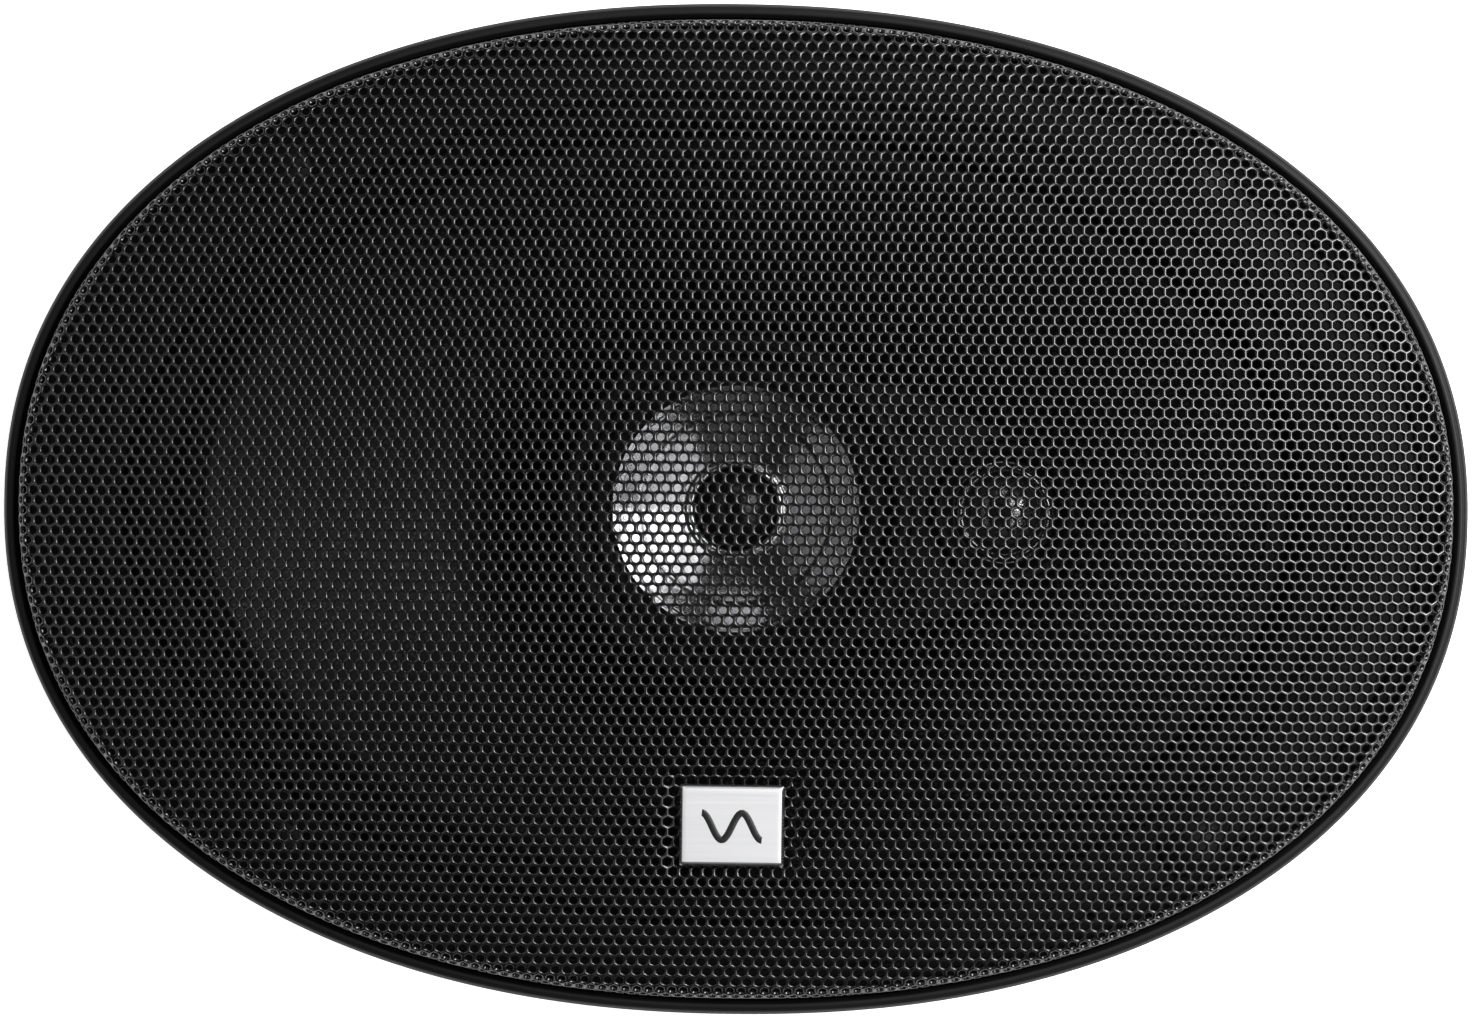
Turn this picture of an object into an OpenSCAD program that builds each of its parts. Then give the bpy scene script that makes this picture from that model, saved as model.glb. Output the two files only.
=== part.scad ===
// Oval 6 x 9 inch coaxial car speaker: woofer, midrange and tweeter on one axis of travel, with a
// lift-off perforated grille. Millimetres. The origin is the centre of the mounting flange on its
// rear face, +Z points out of the front and +X lies along the long axis.

/* [Outline] */
// Half length of the grille ring
ring_a = 118.8; // [117:0.1:121]
// Half width of the grille ring
ring_b = 82; // [81:0.1:84]
// Roundness of the outer ovals, where 2 is an ellipse
oval_n = 2.16; // [2:0.02:2.4]

/* [Flange] */
// Thickness of the pressed steel
steel_t = 1.2; // [1:0.1:1.6]
// Mounting hole distance from the centre along the long axis
hole_x = 75; // [74.5:0.5:76]
// Mounting hole distance from the centre along the short axis
hole_y = 54; // [53.5:0.5:54.5]
// Mounting hole radius
hole_r = 2.25; // [2:0.05:2.3]

/* [Motor] */
// Depth from the mounting face to the back of the motor
depth = 79; // [79:0.5:82]
// Ferrite magnet radius
magnet_r = 45; // [44:0.5:46]
// Ferrite magnet thickness
magnet_t = 15; // [15:0.5:15.5]
// Radius of the steel plates on both sides of the magnet
plate_r = 41; // [40:0.5:42]
// Thickness of each steel plate
plate_t = 5; // [5:0.1:5.2]

/* [Cone] */
// Half length of the cone's outer edge
cone_a = 89; // [88.5:0.1:89.2]
// Half width of the cone's outer edge
cone_b = 60; // [59.5:0.1:60.2]
// Depth of the cone from its edge to its neck
cone_h = 36; // [35.5:0.1:36]
// Voice coil former radius, inside
coil_r = 12.75; // [12.7:0.01:12.8]

/* [Coaxial drivers] */
// Radius of the midrange housing
mid_r = 28; // [27.8:0.1:28.2]
// Tweeter distance from the centre
tweeter_x = 43.5; // [43:0.1:44]
// Radius of the tweeter housing
tweeter_r = 11.8; // [11.6:0.1:12]

/* [Grille] */
// Height of the mesh dome's crown above the mounting face
crown_z = 17; // [16:0.5:19]
// Height at which the mesh dome meets its side wall
shoulder_z = 9.6; // [9:0.1:10]
// Thickness of the grille sheet
sheet_t = 0.8; // [0.7:0.1:0.9]

/* [Hidden] */
$fn = 96;
around = 96;            // points round every oval
small_gap = 0.05;       // between fixed pieces that only face each other

// Flange and what lies on it, as distances in from the ring's outline.
flange_in = 2.8;
ledge_in = 7.4;
peg_in = 5.8;
peg_r = 1.3;
peg_hole_r = 1.6;
peg_angles = [0, 60, 120, 180, 240, 300];

// Surround, from its lip on the flange to its lip on the cone.
lip_out = [104, 71];
roll_out = [98.8, 67.2];
roll_in = [90.6, 61.4];
lip_in = [86.5, 58];
surround_t = 0.6;
roll_h = 5.4;
ellipse_n = 2;

// Motor levels, from the back to the front.
back_z = -depth;
magnet_z = back_z + plate_t;
top_plate_z = magnet_z + magnet_t;
seat_z = top_plate_z + plate_t;
pole_r = 12.3;
gap_r = 13.9;
neck_z = -cone_h;
shelf_z = -40;
coil_t = 0.2;
post_r = 3;
post_bore_r = 1.6;
recess_r = 9;
recess_z = back_z + 7;
groove_w = 4;
lead_z = back_z + 1.3;
lead_r = 0.6;
rivet_ring_r = 36;

// Levels of the coaxial drivers.
cup_floor_z = -14;
bridge_top_z = 4;
arm_z = -4;
plate_z = 1;
screw_x = 29.2;
screw_y = 14.9;
mid_coil_r = 6.95;
mid_neck_z = -1;
tweeter_floor_z = -6;

// The terminal panel lies on the basket's side: its own +Z is the wall's outward normal.
panel_y = 59.05;
panel_mid_z = -26.5;
panel_tilt = -108.1;
panel_w = 34;
panel_h = 13;
panel_t = 1.6;
pad_t = 2.2;

// Badge on the mesh, below the centre.
badge_y = -50.4;
badge_w = 16.7;
badge_h = 13.2;
badge_t = 1.6;
badge_gap = 0.25;

// One point of a rounded oval, at angle t.
function oval_point(a, b, n, t) = [
    a * sign(cos(t)) * pow(abs(cos(t)), 2 / n),
    b * sign(sin(t)) * pow(abs(sin(t)), 2 / n)
];
function oval(a, b, n) = [for (i = [0:around - 1]) oval_point(a, b, n, 360 * i / around)];
// The outline at a distance in from the grille ring's edge.
function rim(d) = oval(ring_a - d, ring_b - d, oval_n);
function quad(p, q, r, s) = [[p, q, r], [p, r, s]];
// A section of a loft is [half length, half width, roundness, height].
function section_points(sections) =
    [for (s = sections) for (p = oval(s[0], s[1], s[2])) [p[0], p[1], s[3]]];
function at(i, j) = i * around + j % around;
function row_faces(i, k) =
    [for (j = [0:around - 1]) each quad(at(i, j), at(k, j), at(k, j + 1), at(i, j + 1))];

// A closed ring whose cross-section is the loop of sections, outside going up first.
module oval_ring(sections) {
    m = len(sections);
    polyhedron(
        points = section_points(sections),
        faces = [for (i = [0:m - 1]) each row_faces(i, (i + 1) % m)]
    );
}

// A solid whose sections run from a lower cap, outwards and back, to an upper cap.
module oval_solid(sections) {
    m = len(sections);
    polyhedron(
        points = section_points(sections),
        faces = concat(
            [for (j = [1:around - 2]) [at(0, 0), at(0, j), at(0, j + 1)]],
            [for (i = [0:m - 2]) each row_faces(i, i + 1)],
            [for (j = [1:around - 2]) [at(m - 1, 0), at(m - 1, j + 1), at(m - 1, j)]]
        )
    );
}

// A thin shell with windows. outer and inner list the same levels from the bottom up, and the
// windows take the levels from first to last.
module windowed_shell(outer, inner, first, last, cells, margin) {
    k = len(outer);
    m = 2 * k;
    sections = concat(outer, [for (i = [k - 1:-1:0]) inner[i]]);
    function open(i, j) = i >= first && i < last
        && (j + cells) % cells >= margin && (j + cells) % cells < cells - margin;
    function o(i, j) = at(i, j);
    function n(i, j) = at(m - 1 - i, j);
    shell = [for (i = [0:k - 2]) for (j = [0:around - 1]) if (!open(i, j))
        each concat(quad(o(i, j), o(i + 1, j), o(i + 1, j + 1), o(i, j + 1)),
                    quad(n(i, j), n(i, j + 1), n(i + 1, j + 1), n(i + 1, j)))];
    frames = [for (i = [first:last - 1]) for (j = [0:around - 1]) if (open(i, j))
        each concat(
            open(i, j - 1) ? [] : quad(o(i, j), o(i + 1, j), n(i + 1, j), n(i, j)),
            open(i, j + 1) ? []
                : quad(n(i, j + 1), n(i + 1, j + 1), o(i + 1, j + 1), o(i, j + 1)),
            open(i - 1, j) ? [] : quad(o(i, j), n(i, j), n(i, j + 1), o(i, j + 1)),
            open(i + 1, j) ? []
                : quad(o(i + 1, j + 1), n(i + 1, j + 1), n(i + 1, j), o(i + 1, j)))];
    polyhedron(
        points = section_points(sections),
        faces = concat(shell, frames, row_faces(k - 1, k), row_faces(m - 1, 0))
    );
}

// A tube along a list of points, with eight sides.
function unit(v) = v / norm(v);
function heading(p, i) = unit(p[min(i + 1, len(p) - 1)] - p[max(i - 1, 0)]);
function side_of(d, up) = unit(cross(d, up));
module wire(path, r, up) {
    sides = 8;
    rings = len(path);
    points = [for (i = [0:rings - 1])
        let (d = heading(path, i), s = side_of(d, up), w = cross(d, s))
            for (k = [0:sides - 1])
                path[i] + r * (cos(45 * k) * s + sin(45 * k) * w)];
    polyhedron(
        points = points,
        faces = concat(
            [[for (k = [0:sides - 1]) k]],
            [for (i = [0:rings - 2]) for (k = [0:sides - 1])
                each quad(i * sides + k, (i + 1) * sides + k,
                          (i + 1) * sides + (k + 1) % sides, i * sides + (k + 1) % sides)],
            [[for (k = [sides - 1:-1:0]) (rings - 1) * sides + k]]
        )
    );
}

module at_mounting_holes() {
    for (x = [-1, 1], y = [-1, 1]) translate([x * hole_x, y * hole_y, 0]) children();
}

module at_pegs() {
    for (t = peg_angles) {
        p = oval_point(ring_a - peg_in, ring_b - peg_in, oval_n, t);
        translate([p[0], p[1], 0]) children();
    }
}

module tube(r_out, r_in, h) {
    difference() {
        cylinder(r = r_out, h = h);
        translate([0, 0, -1]) cylinder(r = r_in, h = h + 2);
    }
}

module on_panel() {
    translate([0, panel_y, panel_mid_z]) rotate([panel_tilt, 0, 0]) children();
}

// ---- Grille ----

// Bezel ring: [distance in from the outline, height] round its cross-section.
bezel_profile = [
    [0, 0], [0, 3.4], [0.45, 4.7], [1.4, 5.3], [2.1, 5], [2.5, 4], [2.5, 2.4],
    [ledge_in, 2.4], [ledge_in, 1.3], [2.4, 1.3], [2.4, 0]
];

module grille_ring() {
    color([0.06, 0.06, 0.06]) union() {
        oval_ring([for (p = bezel_profile) [ring_a - p[0], ring_b - p[0], oval_n, p[1]]]);
        at_pegs() translate([0, 0, 0.1]) cylinder(r = peg_r, h = 1.7);
    }
}

function dome_z(u) = shoulder_z + (crown_z - shoulder_z) * (1 - u * u);
// Sections of the dome's top, from the crown out, lowered and drawn in by a thickness.
function dome_sections(steps, t) = [for (k = [0:steps])
    let (u = max(k / steps, 0.02))
        [(ring_a - 5.6) * u - t * u, (ring_b - 5.6) * u - t * u, oval_n, dome_z(u) - t]];
wall_profile = [[4.2, 9.1], [3.3, 8], [2.9, 6.4], [2.7, 2.5]];

module grille_mesh() {
    top = dome_sections(6, 0);
    under = dome_sections(6, sheet_t);
    wall = [for (p = wall_profile) [ring_a - p[0], ring_b - p[0], oval_n, p[1]]];
    wall_in = [for (p = wall_profile)
        [ring_a - p[0] - sheet_t, ring_b - p[0] - sheet_t, oval_n,
         p[1] > 3 ? p[1] - sheet_t / 2 : p[1]]];
    color([0.05, 0.05, 0.05]) difference() {
        oval_solid(concat(
            under, wall_in,
            [for (i = [len(wall) - 1:-1:0]) wall[i]],
            [for (i = [len(top) - 1:-1:0]) top[i]]
        ));
        at_studs() translate([0, 0, -3]) cylinder(r = stud_r + small_gap, h = 6);
    }
}

function mesh_top_z(x, y) = dome_z(pow(
    pow(abs(x) / (ring_a - 5.6), oval_n) + pow(abs(y) / (ring_b - 5.6), oval_n), 1 / oval_n));
badge_z = mesh_top_z(0, badge_y);
badge_lean = 8.6;

module on_badge() {
    translate([0, badge_y, badge_z]) rotate([badge_lean, 0, 0]) children();
}

module badge() {
    color([0.86, 0.86, 0.87]) on_badge() difference() {
        translate([-badge_w / 2, -badge_h / 2, badge_gap])
            cube([badge_w, badge_h, badge_t]);
        for (s = [-1, 1]) {
            translate([s * badge_w / 2, 0, badge_gap + badge_t]) rotate([0, 45, 0])
                cube([0.9, badge_h + 1, 0.9], center = true);
            translate([0, s * badge_h / 2, badge_gap + badge_t]) rotate([45, 0, 0])
                cube([badge_w + 1, 0.9, 0.9], center = true);
        }
    }
}

stud_x = 5;
stud_r = 0.8;
stud_h = 3.45;
module at_studs() {
    on_badge() for (s = [-1, 1]) translate([s * stud_x, 0, 0]) children();
}

module badge_studs() {
    color([0.8, 0.8, 0.8]) at_studs() translate([0, 0, badge_gap - stud_h])
        cylinder(r = stud_r, h = stud_h);
}

module badge_push_nuts() {
    color([0.6, 0.6, 0.62]) at_studs() translate([0, 0, -2]) tube(2.4, stud_r, 0.4);
}

// ---- Basket ----

// Basket wall, outside, from the hole in its seat up to the flange.
basket_outer = [
    [31, 31, 2, seat_z], [44.5, 44.5, 2, seat_z], [45.6, 45.6, 2, -43],
    [46.4, 46.4, 2, shelf_z - steel_t], [53.6, 53.6, 2, shelf_z - steel_t],
    [55.5, 54.6, 2, -38.4], [62, 56.6, 2, -34], [73, 59.2, 2, -26],
    [84.5, 62, 2, -17.5], [93, 64.6, 2, -10], [97.6, 66.6, 2, -4], [99.2, 67.6, 2, 0.6]
];
basket_inner = [
    [31, 31, 2, seat_z + steel_t], [43.3, 43.3, 2, seat_z + steel_t], [44.4, 44.4, 2, -42.6],
    [45.2, 45.2, 2, shelf_z], [52.6, 52.6, 2, shelf_z],
    [54.3, 53.4, 2, -37.7], [61, 55.4, 2, -33.2], [72.1, 58, 2, -25.2],
    [83.6, 60.8, 2, -16.8], [91.9, 63.4, 2, -9.4], [96.4, 65.4, 2, -3.6], [98, 66.4, 2, 0.6]
];
window_first = 5;
window_last = 9;
window_cells = 12;      // points of the outline for one window and one leg
window_margin = 2;      // half a leg, in points

module basket() {
    color([0.05, 0.05, 0.055]) union() {
        windowed_shell(basket_outer, basket_inner, window_first, window_last,
                       window_cells, window_margin);
        difference() {
            linear_extrude(steel_t) polygon(rim(flange_in));
            translate([0, 0, -1]) linear_extrude(steel_t + 2)
                polygon(oval(97.4, 65.8, ellipse_n));
            at_mounting_holes() translate([0, 0, -1]) cylinder(r = hole_r, h = steel_t + 2);
            at_pegs() translate([0, 0, -1]) cylinder(r = peg_hole_r, h = steel_t + 2);
        }
    }
}

module surround_gasket() {
    color([0.1, 0.1, 0.1]) translate([0, 0, steel_t + surround_t]) linear_extrude(1.4)
        difference() {
            polygon(oval(lip_out[0] + 0.3, lip_out[1] + 0.3, ellipse_n));
            polygon(oval(roll_out[0] + 1, roll_out[1] + 1, ellipse_n));
        }
}

module basket_rivets() {
    color([0.55, 0.55, 0.57]) for (t = [30:60:330]) rotate(t)
        translate([rivet_ring_r, 0, seat_z + steel_t]) rotate_extrude()
            polygon([[0, 0], [3, 0], [2.6, 0.7], [1.5, 1.2], [0, 1.3]]);
}

// ---- Motor ----

module top_plate() {
    color([0.62, 0.62, 0.64]) translate([0, 0, top_plate_z]) rotate_extrude()
        polygon([[gap_r, 0], [plate_r, 0], [plate_r, plate_t - 0.8], [plate_r - 0.8, plate_t],
                 [gap_r, plate_t]]);
}

module magnet() {
    color([0.12, 0.12, 0.125]) translate([0, 0, magnet_z]) rotate_extrude()
        polygon([[19, 0], [magnet_r - 1.2, 0], [magnet_r, 1.2], [magnet_r, magnet_t - 1.2],
                 [magnet_r - 1.2, magnet_t], [19, magnet_t]]);
}

module back_plate() {
    pole_top = seat_z + 1;
    color([0.62, 0.62, 0.64]) difference() {
        rotate_extrude() polygon([
            [0, back_z], [plate_r - 1.4, back_z], [plate_r, back_z + 1.4], [plate_r, magnet_z],
            [pole_r, magnet_z], [pole_r, pole_top - 0.6], [pole_r - 0.6, pole_top],
            [0, pole_top]]);
        translate([0, 0, back_z - 1]) cylinder(r = post_r + small_gap, h = depth);
        translate([0, 0, back_z - 1]) cylinder(r = recess_r, h = recess_z - back_z + 1);
        translate([-groove_w / 2, recess_r - 2, back_z - 1])
            cube([groove_w, plate_r, 3.5]);
    }
}

// ---- Woofer cone ----

function cone_z(u) = neck_z + cone_h * pow(u, 0.8);
neck_r = coil_r + coil_t + small_gap;
cone_steps = 8;
function cone_half(edge, u) = neck_r + (edge - cone_edge_w - neck_r) * u;
cone_t = 0.9;
cone_edge_z = 0.2;
cone_edge_w = 2.4;
// Sections of the cone's front, from the neck out, moved back by a thickness.
function cone_sections(t) = [for (k = [0:cone_steps])
    let (u = k / cone_steps, d = (k == 0) ? 0 : 0.5 * t)
        [cone_half(cone_a, u) + d, cone_half(cone_b, u) + d, ellipse_n, cone_z(u) - t]];

module cone() {
    front = cone_sections(0);
    back = cone_sections(cone_t);
    color([0.07, 0.07, 0.075]) oval_ring(concat(
        back,
        [[cone_a, cone_b, ellipse_n, cone_edge_z - cone_t],
         [cone_a, cone_b, ellipse_n, cone_edge_z]],
        [for (i = [cone_steps:-1:0]) front[i]]
    ));
}

// Half roll: the arc's angle runs from the flange's side over the top to the cone's side, on a
// base line that falls from the flange to the cone's edge. t is 0 below and the thickness above.
roll_steps = 8;
roll_z = [steel_t, cone_edge_z + small_gap];
function roll_point(k, t) =
    let (w = k / roll_steps, c = (1 + cos(180 * w)) / 2)
        [roll_in[0] + (roll_out[0] - roll_in[0]) * c + t * cos(180 * w),
         roll_in[1] + (roll_out[1] - roll_in[1]) * c + t * cos(180 * w), ellipse_n,
         roll_z[0] + (roll_z[1] - roll_z[0]) * w + max((roll_h + t) * sin(180 * w), t)];

module surround() {
    color([0.05, 0.05, 0.05]) oval_ring(concat(
        [[lip_out[0], lip_out[1], ellipse_n, roll_z[0]],
         [lip_out[0], lip_out[1], ellipse_n, roll_z[0] + surround_t]],
        [for (k = [0:roll_steps]) roll_point(k, surround_t)],
        [[lip_in[0], lip_in[1], ellipse_n, roll_z[1] + surround_t],
         [lip_in[0], lip_in[1], ellipse_n, roll_z[1]]],
        [for (k = [roll_steps:-1:0]) roll_point(k, 0)]
    ));
}

spider_t = 0.5;
spider_waves = 6;
spider_wave_h = 1.3;
// Corrugated disc: the height swings between two levels from the collar out to the shelf.
function spider_z(k) = shelf_z + 0.1 + spider_wave_h * (k % 2 == 0 ? 0 : 1);
module spider() {
    r0 = coil_r + coil_t + 2;
    r1 = 46.5;
    steps = 2 * spider_waves;
    radii = [for (k = [0:steps]) r0 + (r1 - r0) * k / steps];
    color([0.62, 0.5, 0.22]) rotate_extrude() polygon(concat(
        [[coil_r + coil_t, shelf_z + 2.6], [coil_r + coil_t, shelf_z + 0.1]],
        [for (k = [0:steps]) [radii[k], spider_z(k)]],
        [[52, shelf_z + 0.1], [52, shelf_z + 0.1 + spider_t]],
        [for (k = [steps:-1:0]) [radii[k], spider_z(k) + spider_t]],
        [[coil_r + coil_t + 0.6, shelf_z + 2.6]]
    ));
}

former_top_z = neck_z + 2;
winding_z = (top_plate_z + seat_z) / 2 - 5.5;
winding_h = 11;
module voice_coil_former() {
    color([0.75, 0.6, 0.35]) translate([0, 0, winding_z])
        tube(coil_r + coil_t, coil_r, former_top_z - winding_z);
}

module voice_coil_winding() {
    color([0.72, 0.35, 0.14]) translate([0, 0, winding_z])
        tube(coil_r + coil_t + 0.5, coil_r + coil_t, winding_h);
}

// Felt ring on the pole that keeps dust out of the gap round the post.
module dust_ring() {
    color([0.13, 0.13, 0.13]) translate([0, 0, seat_z + 1]) tube(11, post_r, 2.4);
}

// The leads' eyelets sit on the back of the cone, square to it.
eyelet_u = 0.34;
eyelet_t = 72;
eyelet_h = 1;
eyelet_gap = 0.4;
eyelet_x = cone_half(cone_a, eyelet_u) * cos(eyelet_t);
eyelet_y = cone_half(cone_b, eyelet_u) * sin(eyelet_t) + cone_t / 2;
eyelet_z = cone_z(eyelet_u) - cone_t - 0.1;
cone_lean = 39;
module lead_eyelets() {
    color([0.7, 0.68, 0.6]) for (s = [-1, 1])
        translate([s * eyelet_x, eyelet_y, eyelet_z]) rotate([cone_lean + 180, 0, 0])
            translate([0, 0, eyelet_gap]) cylinder(r = 1.6, h = eyelet_h);
}

// Tinsel leads from the panel's ends, through the windows, to the eyelets on the cone's back.
lead_reach = eyelet_gap + eyelet_h + 0.1;
lead_route = [
    [16, 60.4, -27.5], [15.9, 58.2, -28.6], [15.6, 55.3, -30.3], [15.2, 52, -31.8],
    [14.7, 48.4, -32.9], [14.1, 44.8, -33.3], [13.4, 41.2, -33], [12.8, 38, -32],
    [12.3, 35.2, -30.4], [12, 32.6, -28.2], [11.8, 30.2, -25.7],
    [eyelet_x, eyelet_y + lead_reach * sin(cone_lean), eyelet_z - lead_reach * cos(cone_lean)]
];
module tinsel_leads() {
    color([0.7, 0.6, 0.45]) for (s = [-1, 1])
        wire([for (p = lead_route) [s * p[0], p[1], p[2]]], 0.55, [1, 0, 0]);
}

// ---- Post and its wiring ----

post_top_z = cup_floor_z + 2;
post_bottom_z = back_z + 2.4;
module coax_post() {
    color([0.7, 0.7, 0.72]) translate([0, 0, post_bottom_z])
        tube(post_r, post_bore_r, post_top_z - post_bottom_z);
}

washer_t = 1;
nut_t = 3.2;
module post_washer() {
    color([0.75, 0.75, 0.76]) translate([0, 0, recess_z - washer_t])
        tube(7, post_r + small_gap, washer_t);
}

module post_nut() {
    color([0.75, 0.75, 0.76]) translate([0, 0, recess_z - washer_t - nut_t]) difference() {
        cylinder(r = 5.77, h = nut_t, $fn = 6);
        translate([0, 0, -1]) cylinder(r = post_r, h = nut_t + 2);
    }
}

// Leads to the upper drivers: from the panel, down the motor's side, along the groove in the
// back plate and up the hollow post.
coax_route = [
    [0, 59.7, -34], [0, 58.9, -36.6], [0, 57.2, -39.4], [0, 54.9, -42], [0, 52.2, -44.2],
    [0, 49.8, -46.6], [0, 48.2, -49.6], [0, 47.2, -53], [0, 46.7, -58], [0, 46.4, -66],
    [0, 46.3, -71],
    [0, 45.8, -74.6], [0, 44, -76.9], [0, 41, -77.6], [0, 30, -77.7], [0, 20, -77.7],
    [0, 12, -77.7], [0, 5, -77.7], [0, 2, -77.7], [0, 0.5, -77.5], [0, 0, -76.8],
    [0, 0, -60], [0, 0, -40], [0, 0, -20], [0, 0, -12.6]
];
module coax_leads() {
    color([0.5, 0.06, 0.05]) for (s = [-1, 1])
        wire([for (p = coax_route) [s * 0.72 + p[0], p[1], p[2]]], lead_r, [1, 0, 0]);
}

// ---- Bridge that carries the midrange and the tweeter ----

// Plan of the arm: a wide root that narrows to the tweeter's housing.
module arm_plan(grow) {
    union() {
        translate([tweeter_x, 0]) circle(r = tweeter_r + grow);
        polygon([[10, -21.5 - grow], [27, -20 - grow], [47.5, -tweeter_r * 0.94 - grow],
                 [47.5, tweeter_r * 0.94 + grow], [27, 20 + grow], [10, 21.5 + grow]]);
    }
}

cup_wall = 1.8;
motor_r = 12;
module coax_bridge() {
    color([0.04, 0.04, 0.042]) difference() {
        union() {
            rotate_extrude() polygon([
                [0, cup_floor_z], [mid_r - 4, cup_floor_z], [mid_r, cup_floor_z + 4],
                [mid_r, bridge_top_z], [0, bridge_top_z]]);
            translate([0, 0, -20]) cylinder(r = 6, h = 6.5);
            translate([0, 0, arm_z]) linear_extrude(plate_z - arm_z) arm_plan(0);
            translate([tweeter_x, 0, tweeter_floor_z])
                cylinder(r = tweeter_r, h = plate_z - tweeter_floor_z);
        }
        rotate_extrude() polygon([
            [0, cup_floor_z + 2], [mid_r - 4.6, cup_floor_z + 2],
            [mid_r - cup_wall, cup_floor_z + 5.4], [mid_r - cup_wall, bridge_top_z + 1],
            [0, bridge_top_z + 1]]);
        translate([0, 0, -21]) cylinder(r = post_r, h = 10);
        translate([tweeter_x, 0, tweeter_floor_z + 1.6]) cylinder(r = 8.3, h = 10);
        for (s = [-1, 1]) translate([screw_x, s * screw_y, arm_z + 1])
            cylinder(r = 1.4, h = 8);
    }
}

module tweeter_plate() {
    color([0.04, 0.04, 0.042]) difference() {
        translate([0, 0, plate_z]) linear_extrude(2) arm_plan(0);
        translate([0, 0, plate_z - 1]) cylinder(r = mid_r + small_gap, h = 5);
        translate([tweeter_x, 0, plate_z - 1]) cylinder(r = 8.3, h = 5);
        for (s = [-1, 1]) translate([screw_x, s * screw_y, plate_z - 1])
            cylinder(r = 1.7, h = 5);
    }
}

module bridge_screws() {
    color([0.5, 0.5, 0.52]) for (s = [-1, 1]) translate([screw_x, s * screw_y, plate_z + 2])
        difference() {
            rotate_extrude() polygon([[0, -6], [1.4, -6], [1.4, 0], [2.7, 0], [2.6, 1],
                                      [1.7, 1.6], [0, 1.8]]);
            for (q = [0, 90]) rotate(q) translate([-1.5, -0.3, 0.9]) cube([3, 0.6, 2]);
        }
}

// ---- Midrange ----

module midrange_frame() {
    color([0.09, 0.09, 0.09]) rotate_extrude() polygon([
        [motor_r + small_gap, -7.5], [15, -7.5], [23.4, 1.6], [26.1, 2.8], [26.1, 4],
        [23.6, 4], [22.6, 2.8], [14.4, -6.1], [motor_r + small_gap, -6.1]]);
}

module midrange_cup() {
    color([0.62, 0.62, 0.64]) translate([0, 0, cup_floor_z + 2]) rotate_extrude() polygon([
        [post_r, 0], [motor_r, 0], [motor_r, 8.5], [7.9, 8.5], [7.9, 1.5], [post_r, 1.5]]);
}

module midrange_magnet() {
    color([0.66, 0.66, 0.68]) translate([0, 0, cup_floor_z + 3.5]) cylinder(r = 6, h = 4.5);
}

module midrange_pole_plate() {
    color([0.62, 0.62, 0.64]) translate([0, 0, cup_floor_z + 8]) cylinder(r = 6.5, h = 2.4);
}

module midrange_bezel() {
    color([0.045, 0.045, 0.047]) translate([0, 0, 4.4]) rotate_extrude() polygon([
        [24.6, 0], [28.8, 0], [28.8, 1.6], [28.4, 2.6], [27.4, 3.2], [26.5, 3.2], [25.5, 2.6],
        [24.9, 1.2]]);
}

function mid_roll(k, t) = let (w = 180 * k / 6)
    [22.2 + (1.4 + t) * cos(w), 4 + (1.3 + t) * sin(w)];
module midrange_surround() {
    color([0.05, 0.05, 0.05]) rotate_extrude() polygon(concat(
        [[20, 4], [20.8, 4]],
        [for (k = [6:-1:0]) mid_roll(k, 0)],
        [[26, 4], [26, 4.35], [24, 4.35]],
        [for (k = [1:6]) mid_roll(k, 0.3)],
        [[20.5, 4.35], [20, 4.35]]
    ));
}

module midrange_cone() {
    color([0.78, 0.78, 0.79]) rotate_extrude() polygon([
        [mid_coil_r + 0.2, mid_neck_z], [13, 0.7], [18, 2.6], [21, 3.6], [21, 3.9], [17.9, 2.95],
        [12.9, 1.05], [mid_coil_r + 0.2, mid_neck_z + 0.5]]);
}

module midrange_coil() {
    color([0.72, 0.35, 0.14]) union() {
        translate([0, 0, -8.2]) tube(mid_coil_r + 0.15, mid_coil_r, 7.7);
        translate([0, 0, -6.6]) tube(mid_coil_r + 0.5, mid_coil_r + 0.1, 3.4);
    }
}

cap_r = 6.9;
cap_rise = 3;
// A thin dome: one sphere less another, cut off at the height where its radius is r.
module dome(r, rise, t) {
    big = (r * r + rise * rise) / (2 * rise);
    intersection() {
        difference() {
            translate([0, 0, rise - big]) sphere(r = big);
            translate([0, 0, rise - big]) sphere(r = big - t);
        }
        cylinder(r = r + 1, h = rise + 1);
    }
}

module midrange_dust_cap() {
    color([0.03, 0.03, 0.032]) translate([0, 0, mid_neck_z + 0.55]) dome(cap_r, cap_rise, 0.4);
}

module midrange_trim_ring() {
    color([0.88, 0.88, 0.9]) translate([0, 0, mid_neck_z + 0.55]) rotate_extrude()
        polygon([[6.95, 0], [8.1, 0.4], [8, 0.9], [7.5, 1.25], [7, 1.1]]);
}

// ---- Tweeter ----

module tweeter_cup() {
    color([0.62, 0.62, 0.64]) translate([tweeter_x, 0, tweeter_floor_z + 1.6]) rotate_extrude()
        polygon([[0, 0], [8.25, 0], [8.25, 6.4], [6.9, 6.4], [6.9, 1.2], [0, 1.2]]);
}

module tweeter_magnet() {
    color([0.66, 0.66, 0.68]) translate([tweeter_x, 0, tweeter_floor_z + 2.8])
        cylinder(r = 5.4, h = 2.8);
}

module tweeter_pole_plate() {
    color([0.62, 0.62, 0.64]) translate([tweeter_x, 0, tweeter_floor_z + 5.6])
        cylinder(r = 5.8, h = 1.6);
}

module tweeter_bezel() {
    color([0.045, 0.045, 0.047]) translate([tweeter_x, 0, plate_z + 2]) rotate_extrude()
        polygon([[8.4, 0], [11.8, 0], [11.8, 1.4], [11.4, 2.2], [10.8, 2.5], [10, 2.2],
                 [8.9, 1]]);
}

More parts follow.
